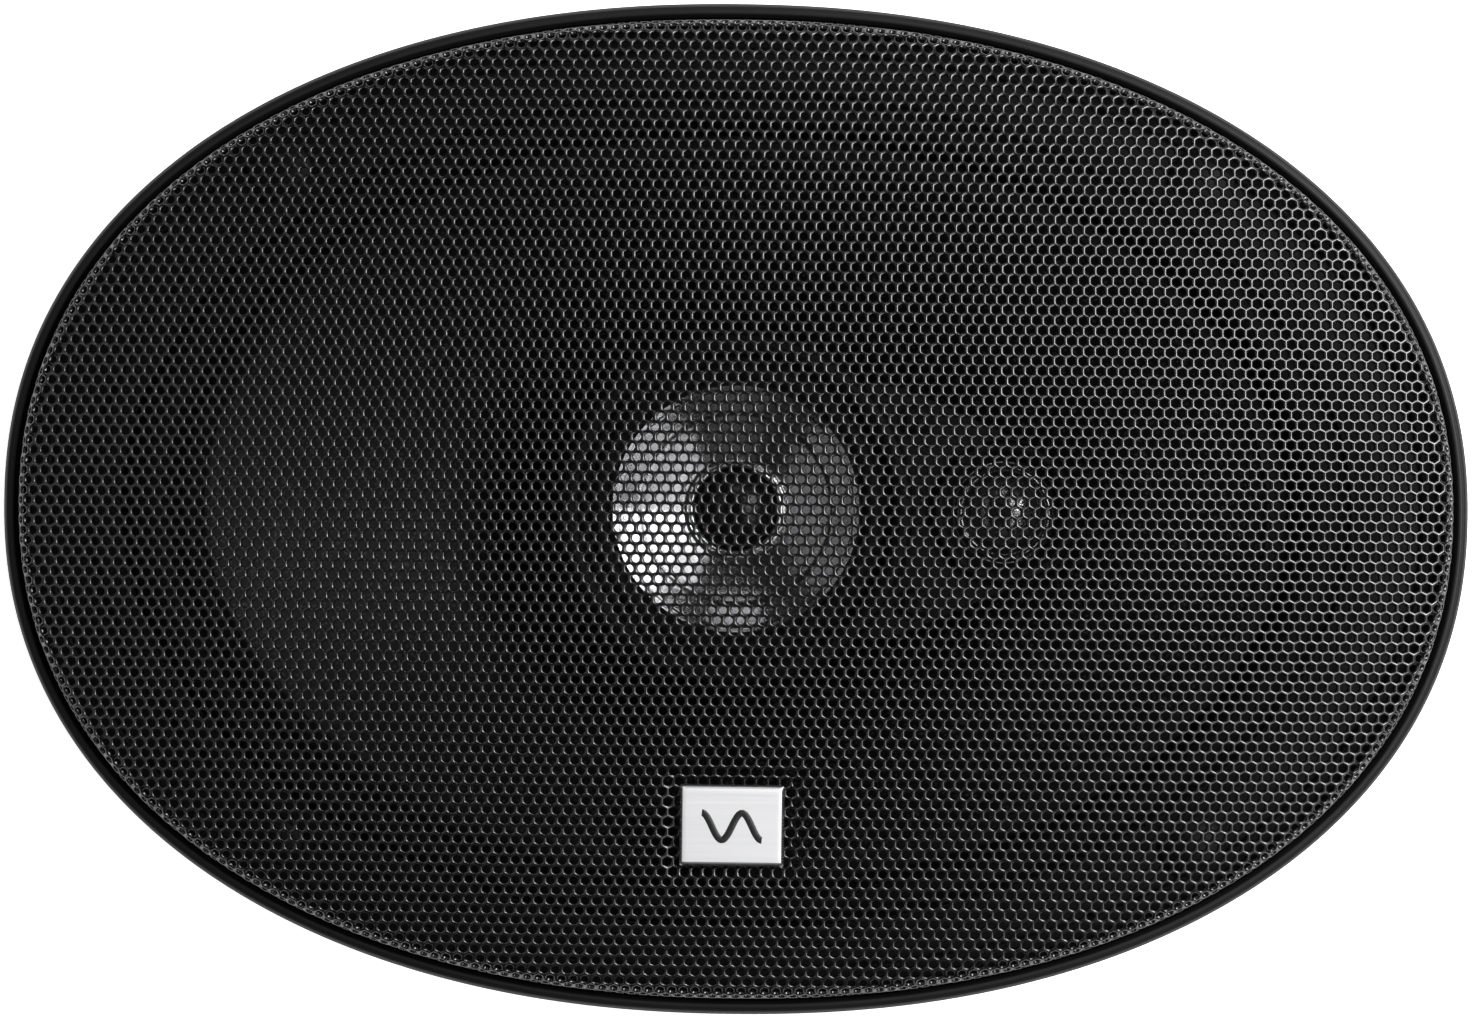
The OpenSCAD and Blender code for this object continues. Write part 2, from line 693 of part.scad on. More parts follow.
module tweeter_dome() {
    color([0.55, 0.5, 0.42]) translate([tweeter_x, 0, 0]) union() {
        translate([0, 0, 2.5]) dome(6.3, 2.2, 0.3);
        translate([0, 0, 2.4]) rotate_extrude() polygon([
            [5.9, 0], [6.5, 0], [6.9, 0.5], [7.5, 0.5], [8, 0.1], [8.1, 0.1], [8.1, 0.4],
            [7.6, 0.8], [6.8, 0.8], [6.4, 0.3], [5.9, 0.3]]);
    }
}

module tweeter_coil() {
    color([0.72, 0.35, 0.14]) translate([tweeter_x, 0, -0.4]) tube(6.4, 6.15, 2.75);
}

// Small capacitor in the midrange cup, in series with the tweeter.
module tweeter_capacitor() {
    color([0.1, 0.16, 0.3]) translate([17, -6, cup_floor_z + 4.35]) rotate([-90, 0, 0])
        cylinder(r = 2.3, h = 12);
}

// ---- Terminals ----

module terminal_panel() {
    color([0.16, 0.1, 0.05]) on_panel() difference() {
        union() {
            translate([-panel_w / 2, -panel_h / 2, pad_t]) cube([panel_w, panel_h, panel_t]);
            translate([-5, -panel_h / 2, 0.12]) cube([10, panel_h, pad_t]);
        }
        translate([0, -3, -1]) cylinder(r = 1.5, h = 10);
    }
}

// Push-on blade of a given width: a foot riveted to the panel and a tab standing on it.
module blade(w, length) {
    translate([-w / 2, -2.4, 0]) cube([w, 6.4, 0.8]);
    difference() {
        translate([-w / 2, -3.2, 0]) cube([w, 0.8, length]);
        translate([0, -1, length - 3]) rotate([90, 0, 0]) cylinder(r = 0.8, h = 4);
    }
}

blade_x = 11;
module positive_terminal() {
    color([0.8, 0.76, 0.6]) on_panel() translate([-blade_x, 0, pad_t + panel_t])
        union() blade(6.3, 9.5);
}

module negative_terminal() {
    color([0.8, 0.76, 0.6]) on_panel() translate([blade_x, 0, pad_t + panel_t])
        union() blade(4.8, 9.5);
}

module terminal_rivets() {
    color([0.72, 0.7, 0.6]) on_panel() for (s = [-1, 1])
        translate([s * blade_x, 1.4, pad_t + panel_t + 0.8]) tube(1.5, 0.7, 0.6);
}

module panel_rivet() {
    color([0.6, 0.6, 0.62]) on_panel() translate([0, -3, pad_t + panel_t]) rotate_extrude()
        polygon([[0, 0], [2.8, 0], [2.4, 0.7], [1.2, 1.1], [0, 1.1]]);
}

cap_y = 4.4;
cap_can_r = 3.6;
cap_can_l = 11;
module crossover_capacitor() {
    color([0.05, 0.09, 0.22]) on_panel()
        translate([-cap_can_l / 2, cap_y + 1.2, pad_t + panel_t + cap_can_r + 0.1])
            rotate([0, 90, 0]) cylinder(r = cap_can_r, h = cap_can_l);
}

module capacitor_leads() {
    reach = cap_can_l / 2;
    lead_h = pad_t + panel_t + cap_can_r + 0.1;
    color([0.7, 0.7, 0.7]) on_panel() for (s = [-1, 1]) union() {
        translate([s * (reach + 0.9), cap_y + 1.2, lead_h]) rotate([0, 90, 0])
            cylinder(r = 0.35, h = 1.8, center = true);
        translate([s * (reach + 1.5), cap_y + 1.2, pad_t + panel_t])
            cylinder(r = 0.35, h = lead_h - pad_t - panel_t);
    }
}

grille_ring();
grille_mesh();
badge();
badge_studs();
badge_push_nuts();
basket();
surround_gasket();
basket_rivets();
top_plate();
magnet();
back_plate();
cone();
surround();
spider();
voice_coil_former();
voice_coil_winding();
lead_eyelets();
tinsel_leads();
dust_ring();
coax_post();
post_washer();
post_nut();
coax_leads();
coax_bridge();
tweeter_plate();
bridge_screws();
midrange_frame();
midrange_cup();
midrange_magnet();
midrange_pole_plate();
midrange_bezel();
midrange_surround();
midrange_cone();
midrange_coil();
midrange_dust_cap();
midrange_trim_ring();
tweeter_cup();
tweeter_magnet();
tweeter_pole_plate();
tweeter_bezel();
tweeter_dome();
tweeter_coil();
tweeter_capacitor();
terminal_panel();
positive_terminal();
negative_terminal();
terminal_rivets();
panel_rivet();
crossover_capacitor();
capacitor_leads();
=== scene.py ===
"""Finished looks of an oval coaxial car speaker, built round its CAD frame.

Shapes are drawn in millimetres in the speaker's own frame and made into objects in metres. The
origin is the centre of the mounting flange's rear face, +Z points out of the front and +X lies
along the long axis.
"""

import math

import bpy
import numpy as np
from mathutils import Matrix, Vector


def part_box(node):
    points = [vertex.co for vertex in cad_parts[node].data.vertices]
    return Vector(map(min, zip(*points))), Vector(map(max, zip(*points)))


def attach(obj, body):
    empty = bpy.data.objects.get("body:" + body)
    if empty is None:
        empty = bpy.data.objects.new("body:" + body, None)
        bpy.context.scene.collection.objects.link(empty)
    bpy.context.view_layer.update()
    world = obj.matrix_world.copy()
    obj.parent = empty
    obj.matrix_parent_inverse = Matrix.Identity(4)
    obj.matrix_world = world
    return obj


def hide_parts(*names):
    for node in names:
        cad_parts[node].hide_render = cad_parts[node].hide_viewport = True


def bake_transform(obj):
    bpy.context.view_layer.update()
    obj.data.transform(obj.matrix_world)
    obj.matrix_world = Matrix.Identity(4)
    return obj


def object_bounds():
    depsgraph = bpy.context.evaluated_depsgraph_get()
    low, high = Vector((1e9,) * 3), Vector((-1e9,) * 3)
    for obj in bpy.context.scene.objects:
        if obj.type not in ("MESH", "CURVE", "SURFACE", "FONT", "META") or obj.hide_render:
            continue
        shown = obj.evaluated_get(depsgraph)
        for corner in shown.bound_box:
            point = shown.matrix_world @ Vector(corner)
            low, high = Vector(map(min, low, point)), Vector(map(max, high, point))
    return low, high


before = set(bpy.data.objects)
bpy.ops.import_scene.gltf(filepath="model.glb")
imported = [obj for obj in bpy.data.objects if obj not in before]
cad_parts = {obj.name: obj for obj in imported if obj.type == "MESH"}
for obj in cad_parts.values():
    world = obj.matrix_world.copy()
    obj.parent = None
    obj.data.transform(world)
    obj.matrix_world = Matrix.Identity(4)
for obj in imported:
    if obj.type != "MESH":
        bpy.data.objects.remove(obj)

CAD_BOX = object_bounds()

bl_info = {
    "name": "Coaxial car speaker",
    "version": (1, 0, 0),
    "blender": (4, 5, 0),
    "location": "View3D > Sidebar > Speaker",
    "description": "Builds an oval coaxial car speaker with its perforated grille",
    "category": "Add Mesh",
}

MM = 0.001
TURN = 2 * math.pi
OUTER_N = 2.16       # roundness of the outer ovals, where 2 is an ellipse
ELLIPSE = 2.0
TWEETER_X = 43.5     # the tweeter's axis, in millimetres from the middle


def box_mm(node):
    """Lowest and highest corner of a CAD node, in millimetres."""
    low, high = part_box(node)
    return np.array(low) / MM, np.array(high) / MM


RING_A, RING_B = box_mm("grille_ring")[1][:2]
CROWN_Z = box_mm("grille_mesh")[1][2]


# ---- Shapes as arrays ----

class Shape:
    """Vertices, and lists of faces with the same number of corners each."""

    def __init__(self, points, *faces):
        self.points = np.asarray(points, float).reshape(-1, 3)
        self.faces = [np.asarray(f, int) for f in faces if len(f)]

    def placed(self, place, turn=np.eye(3)):
        """The same shape, turned by a 3 x 3 matrix and then put in its place."""
        return Shape(self.points @ np.asarray(turn, float).T + np.array(place), *self.faces)

    def volume(self):
        """Signed volume: the sum of the tetrahedra from the origin to each face's fan."""
        total = 0.0
        for f in self.faces:
            for k in range(1, f.shape[1] - 1):
                a, b, c = (self.points[f[:, i]] for i in (0, k, k + 1))
                total += np.einsum("ij,ij->i", a, np.cross(b, c)).sum() / 6
        return total

    def outward(self):
        """The same closed shape with its faces turned to point outwards."""
        if self.volume() < 0:
            self.faces = [f[:, ::-1] for f in self.faces]
        return self


def joined(*shapes):
    """Several shapes as one, each kept as its own shell."""
    starts = np.cumsum([0] + [len(s.points) for s in shapes])
    faces = [f + start for s, start in zip(shapes, starts) for f in s.faces]
    return Shape(np.concatenate([s.points for s in shapes]), *faces)


def grid_faces(rows, cols, wrap_rows=False, wrap_cols=False):
    """Quads between the neighbouring rows and columns of a grid of vertices."""
    i, j = np.meshgrid(np.arange(rows - (not wrap_rows)), np.arange(cols - (not wrap_cols)),
                       indexing="ij")
    i2, j2 = (i + 1) % rows, (j + 1) % cols
    quads = [i * cols + j, i * cols + j2, i2 * cols + j2, i2 * cols + j]
    return np.stack(quads, -1).reshape(-1, 4)


def angles(count):
    """Equally spaced angles round a full turn."""
    return np.arange(count) * TURN / count


def oval(a, b, n, t):
    """Superellipse: x is a times cos t to the power 2 / n with its sign kept, and y likewise
    with b and sin t."""
    power = 2 / n
    x = a * np.sign(np.cos(t)) * np.abs(np.cos(t)) ** power
    y = b * np.sign(np.sin(t)) * np.abs(np.sin(t)) ** power
    return x, y


def capped(grid, tips):
    """Closed skin: a grid of points with one ring to a row, and a fan of triangles from the
    first and the last ring to its tip."""
    rows, around = grid.shape[:2]
    first = np.arange(around)
    last = first + (rows - 1) * around
    low, high = np.full(around, rows * around), np.full(around, rows * around + 1)
    fans = [np.stack([low, np.roll(first, -1), first], -1),
            np.stack([high, last, np.roll(last, -1)], -1)]
    points = np.concatenate([grid.reshape(-1, 3), tips])
    return Shape(points, grid_faces(rows, around, wrap_cols=True), np.concatenate(fans)).outward()


def ring_of(x, y, z):
    """Closed profile carried round: one row of points for each corner of the profile."""
    grid = np.stack([x, y, np.broadcast_to(z, x.shape)], -1)
    return Shape(grid, grid_faces(*x.shape, wrap_rows=True, wrap_cols=True)).outward()


def oval_sweep(sections, around):
    """Closed profile carried round an oval. Each section is half length, half width, roundness
    and height."""
    a, b, n, z = (np.asarray(c, float)[:, None] for c in np.transpose(sections))
    return ring_of(*oval(a, b, n, angles(around)[None, :]), z)


def turned(profile, around=96, centre=(0.0, 0.0)):
    """Profile of radius and height carried round the Z axis. A profile that starts and ends on
    the axis is closed by its two poles, and any other is a closed loop."""
    profile = np.asarray(profile, float)
    solid = profile[0, 0] == 0 and profile[-1, 0] == 0
    loop = profile[1:-1] if solid else profile
    t = angles(around)
    x = centre[0] + loop[:, :1] * np.cos(t)
    y = centre[1] + loop[:, :1] * np.sin(t)
    if not solid:
        return ring_of(x, y, loop[:, 1:])
    poles = [[*centre, profile[0, 1]], [*centre, profile[-1, 1]]]
    return capped(np.stack([x, y, np.broadcast_to(loop[:, 1:], x.shape)], -1), poles)


def rounded(corners, radius, steps=4, closed=True):
    """Outline with its corners rounded: each corner becomes a quadratic Bezier curve that starts
    and ends at the radius from it, or at half the edge where that is shorter."""
    p = np.asarray(corners, float)
    before, after = np.roll(p, 1, 0) - p, np.roll(p, -1, 0) - p
    reach_b = np.minimum(radius, np.linalg.norm(before, axis=1) / 2)
    reach_a = np.minimum(radius, np.linalg.norm(after, axis=1) / 2)
    start = p + before * (reach_b / np.linalg.norm(before, axis=1))[:, None]
    end = p + after * (reach_a / np.linalg.norm(after, axis=1))[:, None]
    w = np.linspace(0, 1, steps + 1)[None, :, None]
    curve = start[:, None] * (1 - w) ** 2 + 2 * p[:, None] * w * (1 - w) + end[:, None] * w ** 2
    if closed:
        return curve.reshape(-1, p.shape[1])
    inner = curve[1:-1].reshape(-1, p.shape[1])
    return np.concatenate([p[:1], inner, p[-1:]])


def smooth_path(points, per_step=6):
    """Catmull-Rom spline through the points, with the ends' tangents taken from their spans."""
    p = np.asarray(points, float)
    m = np.gradient(p, axis=0)
    w = np.linspace(0, 1, per_step, endpoint=False)[:, None, None]
    a, b, ma, mb = p[:-1], p[1:], m[:-1], m[1:]
    h = ((2 * w ** 3 - 3 * w ** 2 + 1) * a + (w ** 3 - 2 * w ** 2 + w) * ma
         + (3 * w ** 2 - 2 * w ** 3) * b + (w ** 3 - w ** 2) * mb)
    return np.concatenate([h.transpose(1, 0, 2).reshape(-1, p.shape[1]), p[-1:]])


def distances(path):
    """How far along a path each of its points is."""
    return np.concatenate([[0], np.cumsum(np.linalg.norm(np.diff(path, axis=0), axis=1))])


def tube(path, radius, sides):
    """Round tube along a path that runs mostly along Y and Z, with domed ends: each ring lies
    square to the path's tangent."""
    path = np.asarray(path, float)
    tangent = np.gradient(path, axis=0)
    tangent /= np.linalg.norm(tangent, axis=1)[:, None]
    side = np.cross(tangent, [1.0, 0.0, 0.0])
    side /= np.linalg.norm(side, axis=1)[:, None]
    lift = np.cross(tangent, side)
    cap = np.array([0.9, 0.6])
    ends = np.sqrt(1 - cap ** 2)
    centre = np.concatenate([path[0] - tangent[0] * radius * cap[:, None], path,
                             path[-1] + tangent[-1] * radius * cap[::-1, None]])
    scale = np.concatenate([ends, np.ones(len(path)), ends[::-1]]) * radius
    side, lift = (np.pad(v, [(2, 2), (0, 0)], "edge")[:, None] for v in (side, lift))
    t = angles(sides)[None, :, None]
    grid = centre[:, None] + (side * np.cos(t) + lift * np.sin(t)) * scale[:, None, None]
    return capped(grid, [path[0] - tangent[0] * radius, path[-1] + tangent[-1] * radius])


def smoothstep(low, high, value):
    """0 below low, 1 above high, and 3 w squared less 2 w cubed between."""
    w = np.clip((value - low) / (high - low), 0, 1)
    return w * w * (3 - 2 * w)


def make_object(name, shape, finish, sharp=None):
    """Puts a shape into a new object and gives it its finish. Edges steeper than sharp, in
    degrees, are drawn crisp."""
    mesh = bpy.data.meshes.new(name)
    mesh.vertices.add(len(shape.points))
    mesh.vertices.foreach_set("co", (shape.points * MM).astype(np.float32).ravel())
    corners = np.concatenate([f.ravel() for f in shape.faces]).astype(np.int32)
    sizes = np.concatenate([np.full(len(f), f.shape[1]) for f in shape.faces])
    mesh.loops.add(len(corners))
    mesh.loops.foreach_set("vertex_index", corners)
    mesh.polygons.add(len(sizes))
    starts = np.concatenate([[0], np.cumsum(sizes)[:-1]]).astype(np.int32)
    mesh.polygons.foreach_set("loop_start", starts)
    mesh.update(calc_edges=True)
    mesh.validate()
    mesh.shade_smooth()
    if sharp is not None:
        mesh.set_sharp_from_angle(angle=math.radians(sharp))
    mesh.materials.append(look(finish))
    piece = bpy.data.objects.new(name, mesh)
    bpy.context.scene.collection.objects.link(piece)
    return piece


def make_piece(name, shape, finish, body, nodes=(), sharp=None):
    """Makes an object that rides on a body, or, when given two bodies and shares, stays unattached
    where it is, and that takes the place of CAD nodes."""
    piece = make_object(name, shape, finish, sharp)
    if isinstance(body, str):
        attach(piece, body)
    else:
        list(body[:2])
        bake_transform(piece)
        share = np.clip(body[2], 0, 1).astype(np.float32)
    if nodes:
        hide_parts(*nodes)
    return piece


def dress(name, *nodes):
    """Gives CAD nodes the finish of that name."""
    for node in nodes:
        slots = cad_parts[node].data.materials
        if not slots:
            slots.append(look(name))
        for i in range(len(slots)):
            slots[i] = look(name)


# ---- Finishes ----

class Value:
    """A shader value. An expression on values adds the Math nodes that work it out."""

    def __init__(self, finish, socket):
        self.finish, self.socket = finish, socket

    def math(self, operation, *others):
        """One Math node of this value and the others."""
        return self.finish.math(operation, self, *others)

    def __add__(self, other):
        return self.math("ADD", other)

    def __sub__(self, other):
        return self.math("SUBTRACT", other)

    def __rsub__(self, other):
        return self.finish.math("SUBTRACT", other, self)

    def __mul__(self, other):
        return self.math("MULTIPLY", other)

    def __pow__(self, other):
        return self.math("POWER", other)

    __radd__ = __add__
    __rmul__ = __mul__

    def sin(self):
        """Sine of an angle in radians."""
        return self.math("SINE")

    def size(self):
        """The value without its sign: the root of its square."""
        return (self ** 2.0) ** 0.5

    def within(self, low, high):
        """0 at low, 1 at high and clamped between, smoothly."""
        return self.finish.node("ShaderNodeMapRange", {"interpolation_type": "SMOOTHSTEP"},
                                {0: self, 1: low, 2: high})


class Finish:
    """A material being made: a Principled shader and the nodes that vary it."""

    def __init__(self, name, colour, **constants):
        self.material = bpy.data.materials.new(name)
        self.material.use_nodes = True
        self.tree = self.material.node_tree
        self.shader = self.tree.nodes["Principled BSDF"].inputs
        self.shader["Base Color"].default_value = (*colour, 1)
        for key, value in constants.items():
            socket = key.replace("_", " ").title().replace("Ior", "IOR")
            self.shader[socket].default_value = value

    def node(self, kind, settings=None, inputs=None, output=0):
        """Adds a node: its settings first, then the values or links of its sockets."""
        node = self.tree.nodes.new(kind)
        for key, value in (settings or {}).items():
            setattr(node, key, value)
        for key, value in (inputs or {}).items():
            if isinstance(value, Value):
                self.tree.links.new(value.socket, node.inputs[key])
            else:
                node.inputs[key].default_value = value
        return Value(self, node.outputs[output])

    def math(self, operation, *values):
        """One Math node."""
        return self.node("ShaderNodeMath", {"operation": operation}, dict(enumerate(values)))

    def where(self):
        """The piece's own coordinates."""
        return self.node("ShaderNodeTexCoord", output="Object")

    def axes(self):
        """X, Y and Z of the piece's own coordinates, as three values."""
        x = self.node("ShaderNodeSeparateXYZ", inputs={0: self.where()})
        return [Value(self, socket) for socket in x.socket.node.outputs]

    def radius(self, centre_x=0.0):
        """Distance from an upright axis."""
        x, y, _ = self.axes()
        return ((x - centre_x) ** 2.0 + y ** 2.0) ** 0.5

    def noise(self, scale, detail=3.0, stretch=None):
        """Fractal noise, 0 to 1, whose grain is 1 / scale across, squeezed by stretch."""
        place = self.where()
        if stretch:
            place = self.node("ShaderNodeMapping", inputs={"Vector": place, "Scale": stretch})
        return self.node("ShaderNodeTexNoise", inputs={
            "Vector": place, "Scale": scale, "Detail": detail, "Roughness": 0.55})

    def flakes(self, scale):
        """Random value of each cell of a pattern of cells 1 / scale across."""
        cells = self.node("ShaderNodeTexVoronoi", inputs={"Vector": self.where(),
                                                          "Scale": scale}, output=1)
        return self.node("ShaderNodeSeparateColor", inputs={0: cells})

    def mix(self, share, low, high):
        """Colour between low and high by a share of 0 to 1."""
        low, high = (c if isinstance(c, Value) else (*c, 1) for c in (low, high))
        return self.node("ShaderNodeMix", {"data_type": "RGBA"}, {0: share, 6: low, 7: high}, 2)

    def drive(self, socket, value):
        """Wires a value that varies over the surface to one of the shader's sockets."""
        self.tree.links.new(value.socket, self.shader[socket])

    def bump(self, height, distance):
        """Small relief: the height times the distance, in metres."""
        self.drive("Normal", self.node("ShaderNodeBump", inputs={
            "Height": height, "Distance": distance, "Strength": 1.0}))


def grey(tone, blue=1.0):
    """Grey of one tone, with its blue raised a little."""
    return (tone, tone, tone * blue)


# How far apart the repeated marks of a finish are, in millimetres
LATHE_PITCH, THREAD_PITCH, COIL_PITCH = 0.35, 0.75, 0.28
BRAID_PITCH, DOME_RING_PITCH = 0.5, 1.6
SLEEVE_STRIPE_UP = 2.3   # the capacitor's stripe, above its middle


# Finishes made of noise alone. Each has the noise between its two tones, as its scale and
# detail, and the tones; the noise of its gloss, with its spread and the least roughness; the
# noise of its relief and its height in metres; the stretch of its noise; and what stays the
# same all over.
DULL, METAL = {"specular_ior_level": 0.15}, {"metallic": 1.0}
RECIPES = {
    "black powder coat": {"tone": grey(0.0020, 1.05), "gloss": (900, 2, 0.10, 0.14)},
    "black moulding": {"tone": grey(0.004, 1.04), "gloss": (60, 4, 0.14, 0.38),
                       "relief": (5200, 3, 0.00002), "fixed": DULL},
    "dull moulding": {"tone": grey(0.0025, 1.04), "gloss": (60, 4, 0.14, 0.53),
                      "relief": (5200, 3, 0.00004), "fixed": DULL},
    "black inlay": {"tone": grey(0.008, 1.04), "gloss": (60, 4, 0.14, 0.23),
                    "relief": (5200, 3, 0.00002), "fixed": {"specular_ior_level": 0.5}},
    "black frame coat": {"tones": (320, 5, (0.0015, 0.0015, 0.0017), (0.0045, 0.0045, 0.0048)),
                         "gloss": (130, 4, 0.2, 0.42), "relief": (420, 4, 0.00006),
                         "fixed": DULL},
    "butyl rubber": {"tones": (45, 5, grey(0.0015), (0.004, 0.004, 0.0038)),
                     "gloss": (45, 5, 0.2, 0.6), "relief": (2200, 3, 0.00003),
                     "fixed": DULL},
    "amber film": {"tones": (140, 3, (0.38, 0.16, 0.03), (0.52, 0.25, 0.06)),
                   "fixed": {"roughness": 0.2, "coat_weight": 0.5}},
    "red insulation": {"tones": (350, 3, (0.34, 0.012, 0.010), (0.50, 0.022, 0.016)),
                       "relief": (2500, 2, 0.00002), "fixed": {"roughness": 0.4}},
    "black insulation": {"tones": (350, 3, grey(0.010), grey(0.020)),
                         "relief": (2500, 2, 0.00002), "fixed": {"roughness": 0.4}},
    "silver film": {"tones": (90, 3, (0.24, 0.24, 0.25), (0.28, 0.28, 0.29)),
                    "gloss": (260, 3, 0.05, 0.135), "fixed": METAL},
    "bright chrome": {"tone": (0.97, 0.97, 0.98), "gloss": (500, 3, 0.06, 0.17),
                      "fixed": METAL},
    "tinned brass": {"tone": (0.72, 0.68, 0.58), "gloss": (500, 3, 0.06, 0.27),
                     "fixed": METAL},
    "nickel plate": {"tone": (0.66, 0.64, 0.60), "gloss": (500, 3, 0.06, 0.17),
                     "fixed": METAL},
    "gloss black": {"tone": grey(0.003, 1.07), "gloss": (300, 3, 0.08, 0.18),
                    "fixed": {"specular_ior_level": 0.3}},
    "black felt": {"tones": (1800, 5, grey(0.004), grey(0.016)), "stretch": (1.0, 0.4, 1.0),
                   "relief": (1800, 5, 0.0002),
                   "fixed": {"roughness": 0.95, "specular_ior_level": 0.1,
                             "sheen_weight": 0.05}},
    "phenolic board": {"tones": (900, 5, (0.055, 0.026, 0.011), (0.15, 0.08, 0.036)),
                       "gloss": (900, 5, 0.2, 0.35), "relief": (900, 5, 0.00003),
                       "stretch": (0.3, 1.0, 1.0)},
}


def finish_recipe(name):
    """Finish whose tone, gloss and relief each follow a noise of their own."""
    recipe = RECIPES[name]
    f = Finish(name, recipe.get("tone", grey(0.5)), **recipe.get("fixed", {}))
    stretch = recipe.get("stretch")
    if "gloss" in recipe:
        scale, detail, spread, least = recipe["gloss"]
        f.drive("Roughness", f.noise(scale, detail, stretch) * spread + least)
    if "tones" in recipe:
        scale, detail, low, high = recipe["tones"]
        f.drive("Base Color", f.mix(f.noise(scale, detail, stretch), low, high))
    if "relief" in recipe:
        scale, detail, height = recipe["relief"]
        f.bump(f.noise(scale, detail, stretch), height)
    return f.material


def finish_badge(name):
    """Pale satin plate: very fine grain brushed along its length, and a polished bevel where it
    is less than the bevel's width from an edge."""
    f = Finish(name, grey(0.7))
    brushed = f.noise(700, 3, stretch=(0.05, 6.0, 1.0))
    x, y, _ = f.axes()
    across = x.size().within((BADGE_W / 2 - 0.50) * MM, (BADGE_W / 2 - 0.42) * MM)
    along = (y - BADGE_Y * MM).size().within((BADGE_H / 2 - 0.57) * MM,
                                             (BADGE_H / 2 - 0.49) * MM)
    bevel = 1.0 - (1.0 - across) * (1.0 - along)
    f.drive("Roughness", (brushed * 0.16 + 0.36) * (1.0 - bevel * 0.4))
    f.drive("Metallic", bevel * 0.4 + 0.6)
    face = f.mix(brushed, (0.64, 0.64, 0.65), (0.72, 0.72, 0.73))
    f.drive("Base Color", f.mix(bevel, face, (0.34, 0.34, 0.345)))
    return f.material


def finish_zinc(name):
    """Zinc-plated steel: cloudy grey, and where it is turned, the fine rings left by the
    lathe."""
    f = Finish(name, grey(0.3), metallic=1.0)
    cloud = f.noise(240, 5)
    f.drive("Base Color", f.mix(cloud, (0.24, 0.24, 0.25), (0.36, 0.36, 0.37)))
    f.drive("Roughness", cloud * 0.22 + 0.22)
    if name == "turned steel":
        wave = (f.radius() * (TURN / (LATHE_PITCH * MM)) + f.noise(90, 2) * 2.0).sin()
        f.bump(wave, 0.000012)
    else:
        f.bump(f.noise(1400, 3), 0.00001)
    return f.material


def finish_ferrite(name):
    """Ground ferrite: dark grey, finely speckled, dull, and paler where its edges have rubbed."""
    f = Finish(name, grey(0.04), metallic=0.2)
    low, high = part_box("magnet")
    speck = f.noise(2600, 4)
    rub = f.radius().within(high[0] - 1.9 * MM, high[0] - 0.5 * MM)
    _, _, z = f.axes()
    ends = 1.0 - (z.within(low[2] + 0.6 * MM, low[2] + 1.6 * MM)
                  * (1.0 - z.within(high[2] - 1.6 * MM, high[2] - 0.6 * MM)))
    worn = rub * ends * f.noise(700, 5).within(0.42, 0.62)
    tone = f.mix(speck, (0.026, 0.026, 0.028), (0.060, 0.060, 0.063))
    f.drive("Base Color", f.mix(worn * 0.7, tone, (0.16, 0.16, 0.165)))
    f.drive("Roughness", speck * 0.2 + 0.42)
    f.bump(f.noise(1500, 5), 0.00005)
    return f.material


def finish_cone(name):
    """Mica-filled moulded cone: near black, with small flakes that catch the light."""
    f = Finish(name, grey(0.005), specular_ior_level=0.14)
    flake = f.flakes(2600).within(0.86, 0.98)
    f.drive("Base Color", f.mix(flake, (0.0035, 0.0035, 0.004), (0.03, 0.03, 0.032)))
    f.drive("Roughness", 0.38 - flake * 0.12 + f.noise(80, 3) * 0.08)
    f.bump(f.noise(900, 4), 0.00004)
    return f.material


def finish_cloth(name):
    """Resin-stiffened cotton: yellow-brown threads, woven over and under, with painted shade where
    a thread dips under and a painted highlight where it rides over.
    """
    f = Finish(name, grey(0.3), roughness=0.75, sheen_weight=0.2)
    x, y, _ = f.axes()
    step = TURN / (THREAD_PITCH * MM)
    over = (x * step).sin() * (y * step).sin()
    thread = over * 0.5 + 0.5
    tint = f.noise(160, 4)
    dark = f.mix(tint, (0.26, 0.165, 0.045), (0.34, 0.22, 0.07))
    # painted light: the weave's hollows take the darker tint and its crests the paler one, in step
    # with the bump
    f.drive("Base Color", f.mix(thread, dark, (0.52, 0.37, 0.14)))
    f.bump(thread + f.noise(3000, 2) * 0.4, 0.00009)
    return f.material


def finish_copper(name):
    """Enamelled copper wire, wound in even turns, with painted shade in the grooves between turns
    and a painted highlight on each turn's crest.
    """
    f = Finish(name, grey(0.3), metallic=1.0, roughness=0.28)
    _, _, z = f.axes()
    turn = (z * (TURN / (COIL_PITCH * MM))).sin()
    # painted light: the colour is darker in the grooves between turns and brighter on their
    # crests, in step with the bump
    f.drive("Base Color", f.mix(turn * 0.5 + 0.5, (0.42, 0.14, 0.05), (0.85, 0.42, 0.2)))
    f.bump(turn, 0.00004)
    return f.material


def finish_tinsel(name):
    """Braided copper tinsel: fine strands wound both ways round the lead, with painted shade
    between the strands and a painted highlight on their crests.
    """
    f = Finish(name, grey(0.3), metallic=0.9, roughness=0.4)
    x, y, z = f.axes()
    step = TURN / (BRAID_PITCH * MM)
    braid = ((y + z + x) * step).sin() * ((y + z - x) * step).sin()
    # painted light: the colour is darker in the braid's hollows and brighter on its crests, in
    # step with the bump
    f.drive("Base Color", f.mix(braid * 0.5 + 0.5, (0.34, 0.15, 0.06), (0.82, 0.52, 0.30)))
    f.bump(braid, 0.00006)
    return f.material


def finish_dome_film(name):
    """Dark polished film of the tweeter's dome, with faint rings in its gloss."""
    f = Finish(name, (0.09, 0.09, 0.092), metallic=0.9)
    ring = (f.radius(TWEETER_X * MM) * (TURN / (DOME_RING_PITCH * MM))).sin()
    f.drive("Roughness", ring * 0.02 + 0.11)
    return f.material


